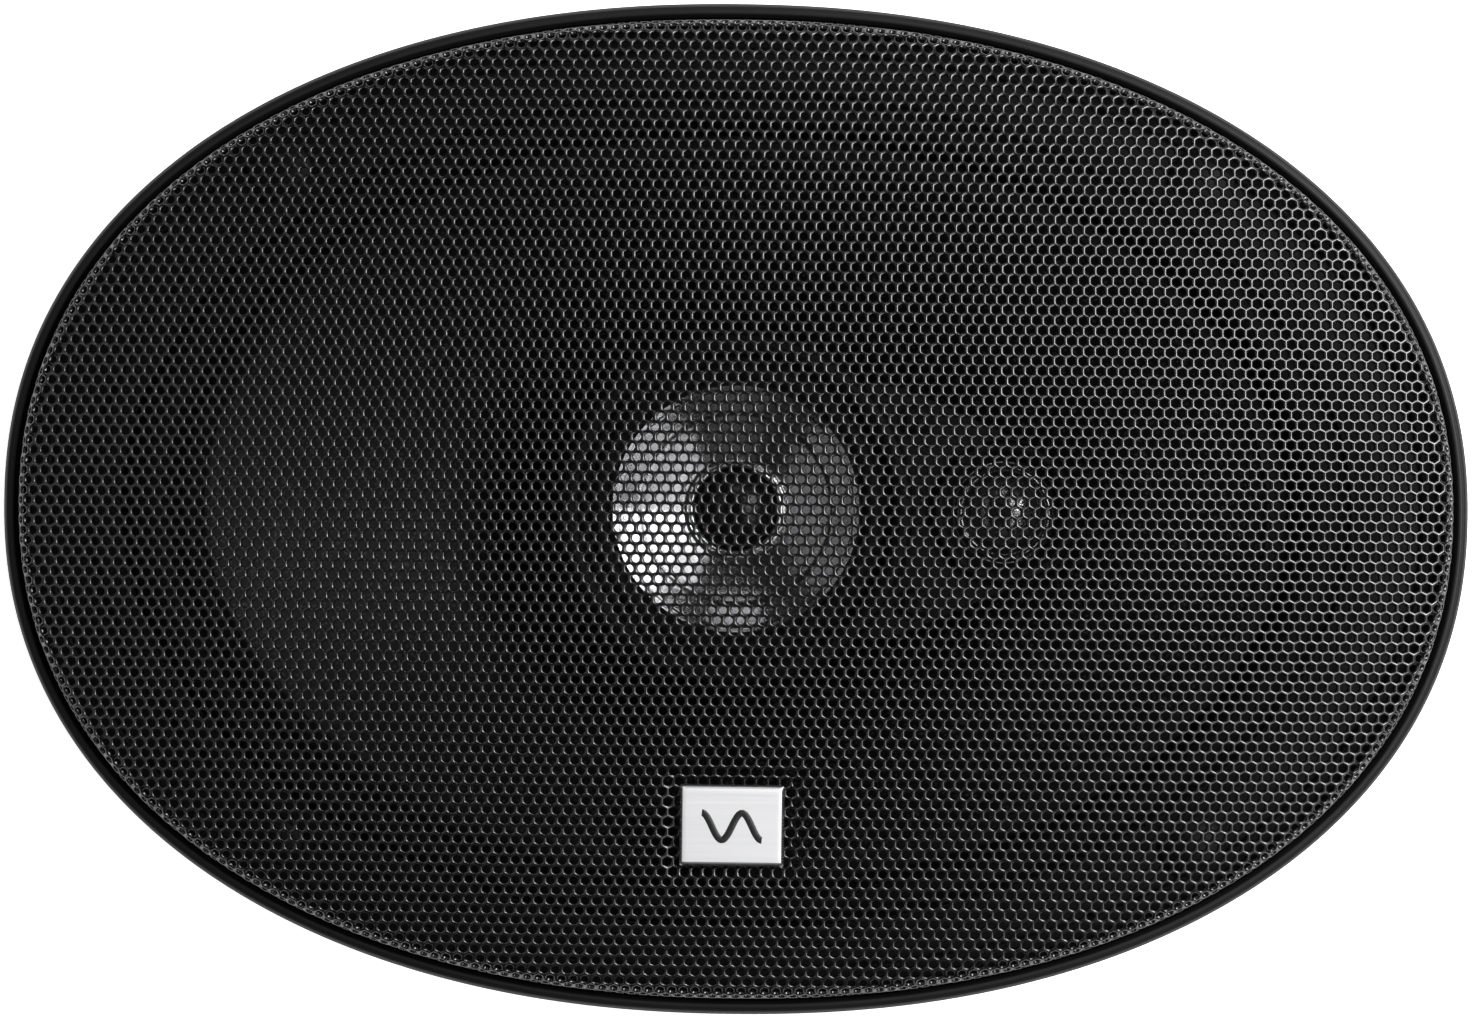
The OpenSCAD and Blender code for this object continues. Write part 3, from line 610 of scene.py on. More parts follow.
def finish_sleeve(name):
    """Dark blue shrink sleeve of a capacitor, with one pale stripe along it for its negative
    side."""
    f = Finish(name, grey(0.1), roughness=0.25, coat_weight=0.4)
    low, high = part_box("crossover_capacitor")
    stripe = (low[2] + high[2]) / 2 + SLEEVE_STRIPE_UP * MM
    above = f.axes()[2].within(stripe, stripe + 0.1 * MM)
    f.drive("Base Color", f.mix(above, (0.012, 0.03, 0.11), (0.55, 0.56, 0.58)))
    return f.material


def finish_floor(name):
    """Pale paper that glows a little."""
    f = Finish(name, grey(0.86), roughness=0.9, emission_color=(1, 1, 1, 1),
               emission_strength=0.78)
    f.drive("Base Color", f.mix(f.noise(3.0, 2), grey(0.84), grey(0.88)))
    return f.material


MAKERS = {
    "pale satin plate": finish_badge, "zinc plated steel": finish_zinc,
    "turned steel": finish_zinc, "ground ferrite": finish_ferrite,
    "mica filled cone": finish_cone, "stiffened cloth": finish_cloth,
    "enamelled copper": finish_copper,
    "braided tinsel": finish_tinsel, "tweeter dome film": finish_dome_film,
    "capacitor sleeve": finish_sleeve, "pale floor": finish_floor,
}


def look(name):
    """The finish of that name, made the first time that it is asked for."""
    return bpy.data.materials.get(name) or MAKERS.get(name, finish_recipe)(name)


# ---- Grille ----

BEAD = [[0, 0], [0, 3.4], [0.45, 4.7], [1.4, 5.3], [2.1, 5], [2.5, 4], [2.5, 2.4],
        [7.4, 2.4], [7.4, 1.3], [2.4, 1.3], [2.4, 0]]
PEGS, PEG_IN, PEG_R = 6, 5.8, 1.3
TAB_R, TAB_Z = 5.4, 1.35
SCREWS = [(x, y) for x in (-75.0, 75.0) for y in (-54.0, 54.0)]
HOLE_R = 2.25
DOME_IN = 5.6        # the mesh dome's edge, in from the ring's outline
SHOULDER_Z = 9.6
WALL = [[-1.4, 9.86], [0, 9.6], [1.4, 9.1], [2.3, 8], [2.7, 6.4], [2.9, 2.5], [2.95, 1.9]]
WALL_LENGTH = 8.3
BADGE_Y, BADGE_W, BADGE_H, BADGE_T = -50.4, 16.7, 13.2, 1.6
BADGE_GAP, BADGE_LEAN = 0.25, math.radians(8.6)


def ring_shape():
    """Bezel ring: its rounded bead and inner ledge carried round the oval outline, with six
    turned pegs with a shoulder below the ledge, and four round tabs that cover the mounting
    screws on it."""
    profile = rounded(BEAD, 0.7, steps=4)
    sections = [[RING_A - d, RING_B - d, OUTER_N, z] for d, z in profile]
    tab = [[0, TAB_Z], [TAB_R - 0.3, TAB_Z], [TAB_R, TAB_Z + 0.3], [TAB_R, TAB_Z + 0.8],
           [TAB_R - 0.2, TAB_Z + 1], [0, TAB_Z + 1]]
    tabs = [turned(tab, 48).placed((x, y, 0)) for x, y in SCREWS]
    peg = [[0, 0.1], [PEG_R - 0.2, 0.1], [PEG_R, 0.3], [PEG_R, 1.26], [PEG_R + 0.9, 1.26],
           [PEG_R + 0.9, 1.7], [0, 1.7]]
    pegs = [turned(peg, 24).placed((x, y, 0))
            for x, y in zip(*oval(RING_A - PEG_IN, RING_B - PEG_IN, OUTER_N, angles(PEGS)))]
    return joined(oval_sweep(sections, 512), *pegs, *tabs)


class Sheet:
    """Formed grille sheet. Inside the dome's outline a plan point keeps its place and takes the
    dome's height; past it, its distance from the outline is measured down the side wall."""

    def __init__(self, pocket):
        self.a, self.b, self.pocket = RING_A - DOME_IN, RING_B - DOME_IN, pocket
        self.x, self.y = oval(self.a, self.b, OUTER_N, np.linspace(0, TURN, 8193))
        self.length = distances(np.stack([self.x, self.y], -1))
        self.bearing = np.unwrap(np.arctan2(self.y, self.x))
        self.wall = smooth_path(WALL, 12)[12:]
        self.down = distances(self.wall)
        self.fall = np.gradient(self.wall, self.down, axis=0)

    def oval_u(self, p, q):
        """Superellipse radius of a plan point, 1 on the dome's outline."""
        s = np.abs(p / self.a) ** OUTER_N + np.abs(q / self.b) ** OUTER_N
        return s ** (1 / OUTER_N)

    def height(self, p, q):
        """Dome's height: the shoulder's plus the rise times one less the radius squared, less
        the shallow pocket round the badge."""
        u = self.oval_u(p, q)
        away = np.hypot(np.maximum(np.abs(p) - BADGE_W / 2, 0),
                        np.maximum(np.abs(q - BADGE_Y) - BADGE_H / 2, 0))
        return (SHOULDER_Z + (CROWN_Z - SHOULDER_Z) * (1 - u ** 2)
                - self.pocket * (1 - smoothstep(0.4, 3.4, away)))

    def beside(self, p, q):
        """Nearest place on the outline: the tangent there is slid along until it is square to
        the way to the point. Gives the place, the outward normal and the distance."""
        s = np.interp(np.arctan2(q, p) % TURN, self.bearing, self.length)
        for _ in range(8):
            cx, cy, tx, ty = self.along(s)
            s = s + (p - cx) * tx + (q - cy) * ty
        return cx, cy, ty, -tx, (p - cx) * ty - (q - cy) * tx

    def along(self, s):
        """Place and tangent on the outline at an arc length."""
        (ax, ay), (cx, cy), (bx, by) = (
            [np.interp((s + d) % self.length[-1], self.length, c) for c in (self.x, self.y)]
            for d in (-0.4, 0, 0.4))
        size = np.hypot(bx - ax, by - ay)
        return cx, cy, (bx - ax) / size, (by - ay) / size

    def place(self, p, q, depth):
        """Points at a depth under the sheet's face, square to it."""
        e = 0.05
        gx = (self.height(p + e, q) - self.height(p - e, q)) / (2 * e)
        gy = (self.height(p, q + e) - self.height(p, q - e)) / (2 * e)
        normal = np.stack([-gx, -gy, np.ones_like(gx)], -1)
        base = np.stack([p, q, self.height(p, q)], -1)
        out = self.oval_u(p, q) > 1
        cx, cy, nx, ny, away = self.beside(p[out], q[out])
        away = np.clip(away, 0, self.down[-1])
        r, z, dr, dz = (np.interp(away, self.down, c) for c in (*self.wall.T, *self.fall.T))
        base[out] = np.stack([cx + nx * r, cy + ny * r, z], -1)
        normal[out] = np.stack([-dz * nx, -dz * ny, dr], -1)
        normal /= np.linalg.norm(normal, axis=-1)[..., None]
        return base - normal * depth[..., None]


CELL_CORNERS, MESH_BANDS = 12, 7
CREST_RINGS = [(-0.93, 0.007), (-0.83, 0.036)]


def mesh_cells(pitch, sheet):
    """Plan centres of the holes: rows along X, each shifted by half a pitch from the last, kept
    where the sheet or its side wall reaches."""
    row = pitch * math.sqrt(3) / 2
    rows, cols = int(96 / row), int(134 / pitch)
    j, i = np.meshgrid(np.arange(-rows, rows + 1), np.arange(-cols, cols + 1), indexing="ij")
    p = ((i + (j % 2) * 0.5) * pitch).ravel()
    q = (j * row).ravel()
    near = sheet.oval_u(p, q) < 1.25
    p, q = p[near], q[near]
    away = np.full(len(p), -1.0)
    out = sheet.oval_u(p, q) > 1
    away[out] = sheet.beside(p[out], q[out])[4]
    keep = away < WALL_LENGTH - pitch * 0.45
    order = np.lexsort((q[keep], p[keep]))
    return p[keep][order], q[keep][order]


def perforated(p, q, pitch, rings, sheet, thick):
    """Perforated sheet round the given hole centres. Each hole is a hexagonal cell whose thin
    crest falls through a funnel to a round hole: the cell's rings share twelve directions, and a
    ring's radius and depth are its two numbers, where a negative radius is a share of the
    hexagon. Cells share their crests and back edges, and the cut edges of the sheet are closed
    by strips from the crest to the back."""
    t = angles(CELL_CORNERS)
    folded = (t + math.pi / 6) % (math.pi / 3) - math.pi / 6
    hexagon = pitch / 2 / np.cos(folded)
    radii = np.array([hexagon] + [np.full(CELL_CORNERS, r) if r > 0 else hexagon * -r
                                  for r, _ in rings + rings[-1:]] + [hexagon])
    depths = np.array([0.0] + [d for _, d in rings] + [thick, thick])
    px = p[:, None, None] + radii[None] * np.cos(t)[None, None]
    qy = q[:, None, None] + radii[None] * np.sin(t)[None, None]
    depth = np.broadcast_to(depths[None, :, None], px.shape)
    number = np.arange(px.size).reshape(px.shape)
    quads = [np.stack([number[:, k, :], np.roll(number[:, k, :], -1, 1),
                       np.roll(number[:, k + 1, :], -1, 1), number[:, k + 1, :]], -1)
             for k in range(len(depths) - 1)]
    quads = np.concatenate([f.reshape(-1, 4) for f in quads])
    key = np.stack([np.round(px / pitch * 500), np.round(qy / pitch * 500),
                    np.round(depth * 500)], -1).reshape(-1, 3).astype(np.int64)
    _, first, same = np.unique(key, axis=0, return_index=True, return_inverse=True)
    same = same.reshape(-1)
    quads = same[quads]
    x, y = px.reshape(-1)[first], qy.reshape(-1)[first]
    points = sheet.place(x, y, depth.reshape(-1)[first])
    front, back = same[number[:, 0, :]], same[number[:, -1, :]]
    a, b = front.reshape(-1), np.roll(front, -1, 1).reshape(-1)
    c, d = np.roll(back, -1, 1).reshape(-1), back.reshape(-1)
    pair = np.sort(np.stack([a, b], -1), axis=1)
    _, place, uses = np.unique(pair[:, 0] * (a.max() + 1) + pair[:, 1], return_inverse=True,
                               return_counts=True)
    cut = uses[place.reshape(-1)] == 1
    strips = np.stack([a, d, c, b], -1)[cut]
    return Shape(points, np.concatenate([quads, strips])).outward()


def badge_frame():
    """Place and turn of the badge: it lies on the mesh, leaning with the dome."""
    c, s = math.cos(BADGE_LEAN), math.sin(BADGE_LEAN)
    turn = [[1, 0, 0], [0, c, -s], [0, s, c]]
    z = SHOULDER_Z + (CROWN_Z - SHOULDER_Z) * (1 - (abs(BADGE_Y) / (RING_B - DOME_IN)) ** 2)
    return (0.0, BADGE_Y, z), turn


def badge_shape(bevel):
    """Plate: a rounded rectangle whose edge turns in over the bevel, as sections from its back
    to its face."""
    levels = [[0.25, 0], [0.05, 0.0], [0, 0.2], [0, BADGE_T - bevel - 0.12],
              [0.03, BADGE_T - bevel], [bevel - 0.03, BADGE_T - 0.03], [bevel + 0.1, BADGE_T],
              [bevel + 0.6, BADGE_T]]
    corner = 0.35
    loops = []
    for inset, z in levels:
        w, h = BADGE_W / 2 - inset, BADGE_H / 2 - inset
        box = rounded([[w, h], [-w, h], [-w, -h], [w, -h]], corner, steps=6)
        loops.append(np.column_stack([box, np.full(len(box), z + BADGE_GAP)]))
    ends = [[0, 0, BADGE_GAP], [0, 0, BADGE_GAP + BADGE_T]]
    return capped(np.stack(loops), ends).placed(*badge_frame())


def wave_shape(length, swing, width):
    """Sine wave, one and a half turns long: a flat ribbon whose middle follows the sine of the
    distance along it, drawn out to the given width and let into the plate's face."""
    x = np.linspace(-length / 2, length / 2, 97)
    y = swing * np.sin(x / length * 3 * math.pi)
    slope = np.gradient(y, x)
    size = np.hypot(1, slope)
    normal = np.stack([-slope / size, 1 / size], -1) * width / 2
    z = BADGE_GAP + BADGE_T
    section = [[1, -0.3], [1, 0.02], [0.86, 0.06], [-0.86, 0.06], [-1, 0.02], [-1, -0.3]]
    loops = [np.column_stack([np.stack([x, y], -1) + normal * w, np.full(len(x), z + h)])
             for w, h in section]
    grid = np.stack(loops, 1)
    rows, cols = grid.shape[:2]
    start = np.arange(cols)[None, ::-1]
    end = (rows - 1) * cols + np.arange(cols)[None]
    quads = grid_faces(rows, cols, wrap_cols=True)
    return Shape(grid, quads, start, end).outward().placed(*badge_frame())


# ---- Basket ----

FLANGE_IN, STEEL_T = 2.8, 1.2
OPENING = (97.4, 65.8)
PEG_HOLE_R = 1.6
WALL_OUTER = [[31, 31, -54], [44.5, 44.5, -54], [45.6, 45.6, -43], [46.4, 46.4, -41.2],
              [53.6, 53.6, -41.2], [55.5, 54.6, -38.4], [62, 56.6, -34], [73, 59.2, -26],
              [84.5, 62, -17.5], [93, 64.6, -10], [97.6, 66.6, -4], [99.2, 67.6, 0.6]]
WALL_INNER = [[31, 31, -52.8], [43.3, 43.3, -52.8], [44.4, 44.4, -42.6], [45.2, 45.2, -40],
              [52.6, 52.6, -40], [54.3, 53.4, -37.7], [61, 55.4, -33.2], [72.1, 58, -25.2],
              [83.6, 60.8, -16.8], [91.9, 63.4, -9.4], [96.4, 65.4, -3.6], [98, 66.4, 0.6]]
WINDOW_FIRST, WINDOW_LAST = 5, 9     # the section levels between which the windows lie
WINDOWS = 8
GASKET_OUT, GASKET_IN, GASKET_T = 104.3, 99.8, 1.4
SPAN_STEPS, CORNER_REACH = 6, 1.2
WALL_AROUND = 384


def circle_points(r, count, x=0.0, y=0.0):
    """Circle as a list of plan points."""
    t = angles(count)
    return np.column_stack([x + r * np.cos(t), y + r * np.sin(t)])


def plate_object(name, loops, low, high, bevel):
    """Flat plate between two levels: a filled outline with its holes, given a thickness and a
    small round along its edges, and made into a mesh."""
    curve = bpy.data.curves.new(name, "CURVE")
    curve.dimensions = "2D"
    curve.fill_mode = "BOTH"
    curve.extrude = (high - low) / 2 * MM - bevel * MM
    curve.bevel_depth = bevel * MM
    curve.bevel_resolution = 2
    curve.offset = -bevel * MM
    for loop in loops:
        spline = curve.splines.new("POLY")
        spline.points.add(len(loop) - 1)
        xyz = np.column_stack([loop, np.zeros(len(loop)), np.ones(len(loop)) / MM]) * MM
        spline.points.foreach_set("co", xyz.astype(np.float32).ravel())
        spline.use_cyclic_u = True
    holder = bpy.data.objects.new(name + " curve", curve)
    mesh = bpy.data.meshes.new_from_object(holder)
    bpy.data.objects.remove(holder)
    points = np.array([v.co for v in mesh.vertices], np.float32) / MM
    points[:, 2] += (low + high) / 2
    faces = [list(f.vertices) for f in mesh.polygons]
    return Shape(points, *([f for f in faces if len(f) == k]
                           for k in sorted({len(f) for f in faces})))


def flange_shape():
    """Flange plate with its opening, four mounting holes and six peg holes."""
    pegs = zip(*oval(RING_A - PEG_IN, RING_B - PEG_IN, OUTER_N, angles(PEGS)))
    loops = [np.column_stack(oval(RING_A - FLANGE_IN, RING_B - FLANGE_IN, OUTER_N, angles(384))),
             np.column_stack(oval(*OPENING, ELLIPSE, angles(384)))]
    loops += [circle_points(HOLE_R, 40, x, y) for x, y in SCREWS]
    loops += [circle_points(PEG_HOLE_R, 32, x, y) for x, y in pegs]
    return plate_object("flange", loops, 0.0, STEEL_T, 0.15)


def fine_rows(levels):
    """Section levels with each corner bent over a short reach, as three rows, and each span
    cut into equal steps."""
    p = np.asarray(levels, float)
    step = np.diff(p, axis=0)
    size = np.linalg.norm(step, axis=1)[:, None]
    reach = step / size * np.minimum(CORNER_REACH, size * 0.4)
    leave, arrive = p[:-1] + reach, p[1:] - reach
    leave[0], arrive[-1] = p[0], p[-1]
    w = np.linspace(0, 1, SPAN_STEPS + 1)[:, None, None]
    bends = np.concatenate([(arrive[:-1] + 2 * p[1:-1] + leave[1:]) / 4, p[-1:]])
    rows = np.concatenate([leave + (arrive - leave) * w, bends[None]])
    return rows.transpose(1, 0, 2).reshape(-1, p.shape[1])[:-1]


def wall_shape(rib_height, corner):
    """Windowed wall of the basket. Its outer and inner skins follow the section levels round
    ellipses; near each window the grid is drawn in to a rounded rectangle, and the cells inside
    are left out. A rounded rib rises along the middle of each leg. Faces across the metal's
    thickness close the windows and both ends."""
    outer, inner = fine_rows(WALL_OUTER), fine_rows(WALL_INNER)
    rows, around, per = len(outer), WALL_AROUND, WALL_AROUND // WINDOWS
    low, high = (level * (SPAN_STEPS + 2) - 1 for level in (WINDOW_FIRST, WINDOW_LAST))
    edge = per // 6
    i, j = np.indices((rows, around)).astype(float)
    half_i, half_j = (high - low) / 2, per / 2 - edge
    g, h = (j % per - per / 2) / half_j, (i - (low + high) / 2) / half_i
    ring = np.maximum(np.abs(g), np.abs(h))
    reach = 1 - smoothstep(1.0, 1.34, ring)
    g, h = g / np.maximum(ring, 1), h / np.maximum(ring, 1)
    rg, rh = corner, corner * half_j / half_i * 1.5
    cg, ch = (np.maximum(np.abs(v) - (1 - r), 0) / r for v, r in ((g, rg), (h, rh)))
    bent = np.minimum(cg, ch) > 0
    turn = np.where(cg < ch, math.pi / 2 - cg * math.pi / 4, ch * math.pi / 4)
    ng = np.where(bent, (1 - rg) + rg * np.cos(turn), np.abs(g))
    nh = np.where(bent, (1 - rh) + rh * np.sin(turn), np.abs(h))
    t = (j + (ng * np.sign(g) - g) * reach * half_j) * TURN / around
    at = i + (nh * np.sign(h) - h) * reach * half_i
    leg = np.abs((j + per / 2) % per - per / 2)
    behind_panel = np.abs((j + around / 4) % around - around / 2) < per / 2
    along = smoothstep(low - 3, low + 5, i) * (1 - smoothstep(high - 4, high + 3, i))
    rib = rib_height * (1 - smoothstep(1.2, edge * 0.62, leg)) * along * ~behind_panel
    skins = []
    for levels in (outer, inner):
        a, b, z = (np.interp(at, np.arange(rows), c) for c in levels.T)
        skins.append(np.stack([(a + rib) * np.cos(t), (b + rib) * np.sin(t), z], -1))
    hole = (i >= low) & (i < high) & (j % per >= edge) & (j % per < per - edge)
    hole = hole[:-1]
    n = rows * around
    number = np.arange(n).reshape(rows, around)
    a, b = number[:-1], number[1:]
    a2, b2 = np.roll(a, -1, 1), np.roll(b, -1, 1)
    blank = np.zeros((1, around), bool)

    def across(c, d):
        return np.stack([c, d, d + n, c + n], -1)

    quads = [np.stack([a, a2, b2, b], -1)[~hole], np.stack([a, b, b2, a2], -1)[~hole] + n,
             across(a, b)[hole & ~np.roll(hole, 1, 1)],
             across(b2, a2)[hole & ~np.roll(hole, -1, 1)],
             across(a2, a)[hole & ~np.vstack([blank, hole[:-1]])],
             across(b, b2)[hole & ~np.vstack([hole[1:], blank])],
             across(a2[0], a[0]), across(b[-1], b2[-1])]
    return Shape(skins, np.concatenate([f.reshape(-1, 4) for f in quads])).outward()


def gasket_shape():
    """Foam ring that clamps the surround: a rounded strip carried round the oval, a little
    narrower across the speaker than along it."""
    low = STEEL_T + ROLL_T
    high = low + GASKET_T
    section = rounded([[GASKET_OUT, low], [GASKET_IN, low], [GASKET_IN, high],
                       [GASKET_OUT, high]], 0.3, 3)
    return oval_sweep([[a, a - GASKET_OUT + 71.3 + (GASKET_OUT - a) * 0.31, ELLIPSE, z]
                       for a, z in section], 256)


# ---- Woofer ----

CONE_A, CONE_B, CONE_H, CONE_T = 89.0, 60.0, 36.0, 0.9
NECK_R, CONE_EDGE_W, CONE_EDGE_Z = 13.0, 2.4, 0.2
LIP_OUT, ROLL_OUT, ROLL_IN, LIP_IN = (104, 71), (98.8, 67.2), (90.6, 61.4), (86.5, 58)
ROLL_T, ROLL_H, ROLL_Z = 0.6, 5.4, (1.2, 0.25)
SHELF_Z = -40.0
COIL_OUT = 12.95


def cone_shape():
    """Cone: from the neck, its half axes grow evenly and its height as the 0.8th power, to a
    flat edge; the back is the front moved down by the thickness."""
    u = np.linspace(0, 1, 40)
    a = NECK_R + (CONE_A - CONE_EDGE_W - NECK_R) * u
    b = NECK_R + (CONE_B - CONE_EDGE_W - NECK_R) * u
    z = -CONE_H + CONE_H * u ** 0.8
    d = np.where(u > 0, 0.5 * CONE_T, 0)
    two = np.full_like(u, ELLIPSE)
    back = np.column_stack([a + d, b + d, two, z - CONE_T])
    front = np.column_stack([a, b, two, z])
    edge = [[CONE_A, CONE_B, ELLIPSE, CONE_EDGE_Z - CONE_T],
            [CONE_A, CONE_B, ELLIPSE, CONE_EDGE_Z]]
    return oval_sweep(np.concatenate([back, edge, front[::-1]]), 256)


def surround_shape():
    """Half roll between two lips, on a base line that falls from the flange to the cone: at an
    angle from the outer side, the half axes follow its cosine and the height its sine. Also
    gives each point's share of the cone's motion, by its distance across the roll."""
    w = np.linspace(0, 1, 29)
    c = (1 + np.cos(math.pi * w)) / 2
    swing, rise = np.cos(math.pi * w), np.sin(math.pi * w)
    base = ROLL_Z[0] + (ROLL_Z[1] - ROLL_Z[0]) * w
    faces = []
    for t in (0.0, ROLL_T):
        a = ROLL_IN[0] + (ROLL_OUT[0] - ROLL_IN[0]) * c + t * swing
        b = ROLL_IN[1] + (ROLL_OUT[1] - ROLL_IN[1]) * c + t * swing
        z = base + np.maximum((ROLL_H + t) * rise, t)
        faces.append(np.column_stack([a, b, np.full_like(a, ELLIPSE), z]))
    sections = np.concatenate([
        [[*LIP_OUT, ELLIPSE, ROLL_Z[0]], [*LIP_OUT, ELLIPSE, ROLL_Z[0] + ROLL_T]], faces[1],
        [[*LIP_IN, ELLIPSE, ROLL_Z[1] + ROLL_T], [*LIP_IN, ELLIPSE, ROLL_Z[1]]],
        faces[0][::-1]])
    shape = oval_sweep(sections, 256)
    share = (ROLL_OUT[0] - sections[:, 0]) / (ROLL_OUT[0] - ROLL_IN[0])
    return shape, np.repeat(smoothstep(0, 1, share), 256)


def spider_shape():
    """Corrugated disc: six even waves, each a raised cosine of the radius, between the collar on
    the coil and the rim on the shelf. Gives each point's share of the coil's motion too."""
    r0, r1, rise, thick = COIL_OUT + 2, 46.5, 1.3, 0.5
    r = np.linspace(r0, r1, 6 * 14 + 1)
    z = SHELF_Z + 0.1 + rise * (1 - np.cos((r - r0) / (r1 - r0) * 6 * TURN)) / 2
    low = np.column_stack([r, z])
    profile = np.concatenate([
        [[COIL_OUT, SHELF_Z + 2.6], [COIL_OUT, SHELF_Z + 0.1]], low,
        [[52, SHELF_Z + 0.1], [52, SHELF_Z + 0.1 + thick]], low[::-1] + [0, thick],
        [[COIL_OUT + 0.6, SHELF_Z + 2.6]]])
    shape = turned(profile, 160)
    share = 1 - smoothstep(0, 1, (profile[:, 0] - r0) / (r1 - r0))
    return shape, np.repeat(share, 160)


LEAD_ROUTE = [[16, 60.4, -27.5], [15.9, 58.2, -28.6], [15.6, 55.3, -30.3], [15.2, 52, -31.8],
              [14.7, 48.4, -32.9], [14.1, 44.8, -33.3], [13.4, 41.2, -33], [12.8, 38, -32],
              [12.3, 35.2, -30.4], [12, 32.6, -28.2], [11.8, 30.2, -25.7], [11.75, 28.14, -22.97]]
LEAD_R, LEAD_SIDES = 0.55, 14


def lead_shape():
    """Two tinsel leads, one the mirror image of the other. Gives each point's share of the
    cone's motion, by how far along the lead it is."""
    shapes, shares = [], []
    for side in (-1, 1):
        path = smooth_path(np.array(LEAD_ROUTE) * [side, 1, 1], 10)
        shapes.append(tube(path, LEAD_R, LEAD_SIDES))
        rows = len(path) + 4
        along = smoothstep(0, 1, (np.arange(rows) - 8) / (rows - 16))
        shares.append(np.concatenate([np.repeat(along, LEAD_SIDES), [0, 1]]))
    return joined(*shapes), np.concatenate(shares)


# ---- Midrange and tweeter ----

MID_BEZEL = [[24.6, 4.4], [28.8, 4.4], [28.8, 6], [28.4, 7], [27.4, 7.6], [26.5, 7.6],
             [25.5, 7], [24.9, 5.6]]
TWEETER_BEZEL = [[8.4, 3], [11.8, 3], [11.8, 4.4], [11.4, 5.2], [10.8, 5.5], [10, 5.2], [8.9, 4]]
MID_NECK_Z, MID_COIL_R, MID_CONE_T = -1.0, 6.95, 0.34


def midrange_cone_shape():
    """Silver cone: its height follows a gentle curve of the radius, steepest at the neck."""
    path = rounded([[MID_COIL_R + 0.2, MID_NECK_Z], [13, 0.7], [18, 2.6], [20.3, 3.5],
                    [21, 3.6]], 6, steps=8, closed=False)
    return turned(np.concatenate([path, path[::-1] + [0, MID_CONE_T]]), 192)


def midrange_surround_shape():
    """Small half roll between the silver cone and its bezel, with each point's share of the
    cone's motion by its distance across the roll."""
    w = np.linspace(0, math.pi, 17)
    under = np.column_stack([22.2 + 1.4 * np.cos(w), 4 + 1.3 * np.sin(w)])
    over = np.column_stack([22.2 + 1.7 * np.cos(w), 4 + 1.6 * np.sin(w)])
    over[:, 1] = np.maximum(over[:, 1], 4.35)
    profile = np.concatenate([[[20, 4], [20.8, 4]], under[::-1], [[26, 4], [26, 4.35], [24, 4.35]],
                              over, [[20.5, 4.35], [20, 4.35]]])
    share = 1 - smoothstep(20.6, 23.8, profile[:, 0])
    return turned(profile, 160), np.repeat(share, 160)


def cap_profile(r, rise, thick, base):
    """Thin dome: arcs of two circles of one centre, closed at the rim and on the axis."""
    big = (r * r + rise * rise) / (2 * rise)
    edge = math.asin(r / big)
    w = np.linspace(0, edge, 24)
    outer = np.column_stack([big * np.sin(w), rise - big + big * np.cos(w)])
    inner = np.column_stack([(big - thick) * np.sin(w), rise - big + (big - thick) * np.cos(w)])
    inner[:, 1] = np.maximum(inner[:, 1], 0)
    return np.concatenate([outer, inner[::-1]]) + [0, base]


def trim_ring_shape():
    """Bright ring round the dust cap: two rounded steps, each an arc of a circle, with a fine
    groove between them."""
    w = np.linspace(math.pi, 0, 11)[:, None]
    tall = [7.3, 0.45] + 0.35 * np.hstack([np.cos(w), np.sin(w)])
    low = [7.9, 0.3] + 0.22 * np.hstack([np.cos(w), np.sin(w)])
    return turned(np.concatenate([[[8.1, -0.05], [6.95, -0.45]], tall, low]), 160)


def bezel_shape(corners, radius, centre=(0.0, 0.0)):
    """Moulded ring: a rounded cross-section turned round its axis."""
    return turned(rounded(corners, radius, 4), 160, centre)


def tweeter_dome_shape():
    """Dome and its half-roll suspension, in one skin."""
    big_r, rise = 6.2, 2.3
    big = (big_r ** 2 + rise ** 2) / (2 * rise)
    w = np.linspace(0, math.asin(big_r / big), 20)
    top = np.column_stack([big * np.sin(w), rise - big + big * np.cos(w) + 2.5])
    v = np.linspace(math.pi, 0, 9)
    roll = np.column_stack([7.15 + 0.7 * np.cos(v), 2.7 + 0.55 * np.sin(v)])
    skin = np.concatenate([top, roll, [[8.1, 2.7]]])
    under = skin[::-1] - [0, 0.25]
    under[:, 1] = np.maximum(under[:, 1], 2.35)
    return turned(np.concatenate([skin, under]), 128, (TWEETER_X, 0))


# ---- Wiring ----

COAX_ROUTE = [[0, 59.7, -34], [0, 58.9, -36.6], [0, 57.2, -39.4], [0, 54.9, -42],
              [0, 52.2, -44.2], [0, 49.8, -46.6], [0, 48.2, -49.6], [0, 47.2, -53],
              [0, 46.7, -58], [0, 46.4, -66], [0, 46.3, -71], [0, 45.8, -74.6], [0, 44, -76.9],
              [0, 41, -77.6], [0, 30, -77.7], [0, 20, -77.7], [0, 12, -77.7], [0, 5, -77.7],
              [0, 2, -77.7], [0, 0.5, -77.5], [0, 0, -76.8], [0, 0, -60], [0, 0, -40],
              [0, 0, -20], [0, 0, -12.6]]


def coax_lead_shape(side):
    """One of the two insulated wires that run side by side down the motor and up the post."""
    return tube(smooth_path(np.array(COAX_ROUTE) + [side * 0.72, 0, 0], 5), 0.6, 14)


# ---- Add-on ----

CAMERA_AWAY = 0.75   # metres, from the ring to the camera


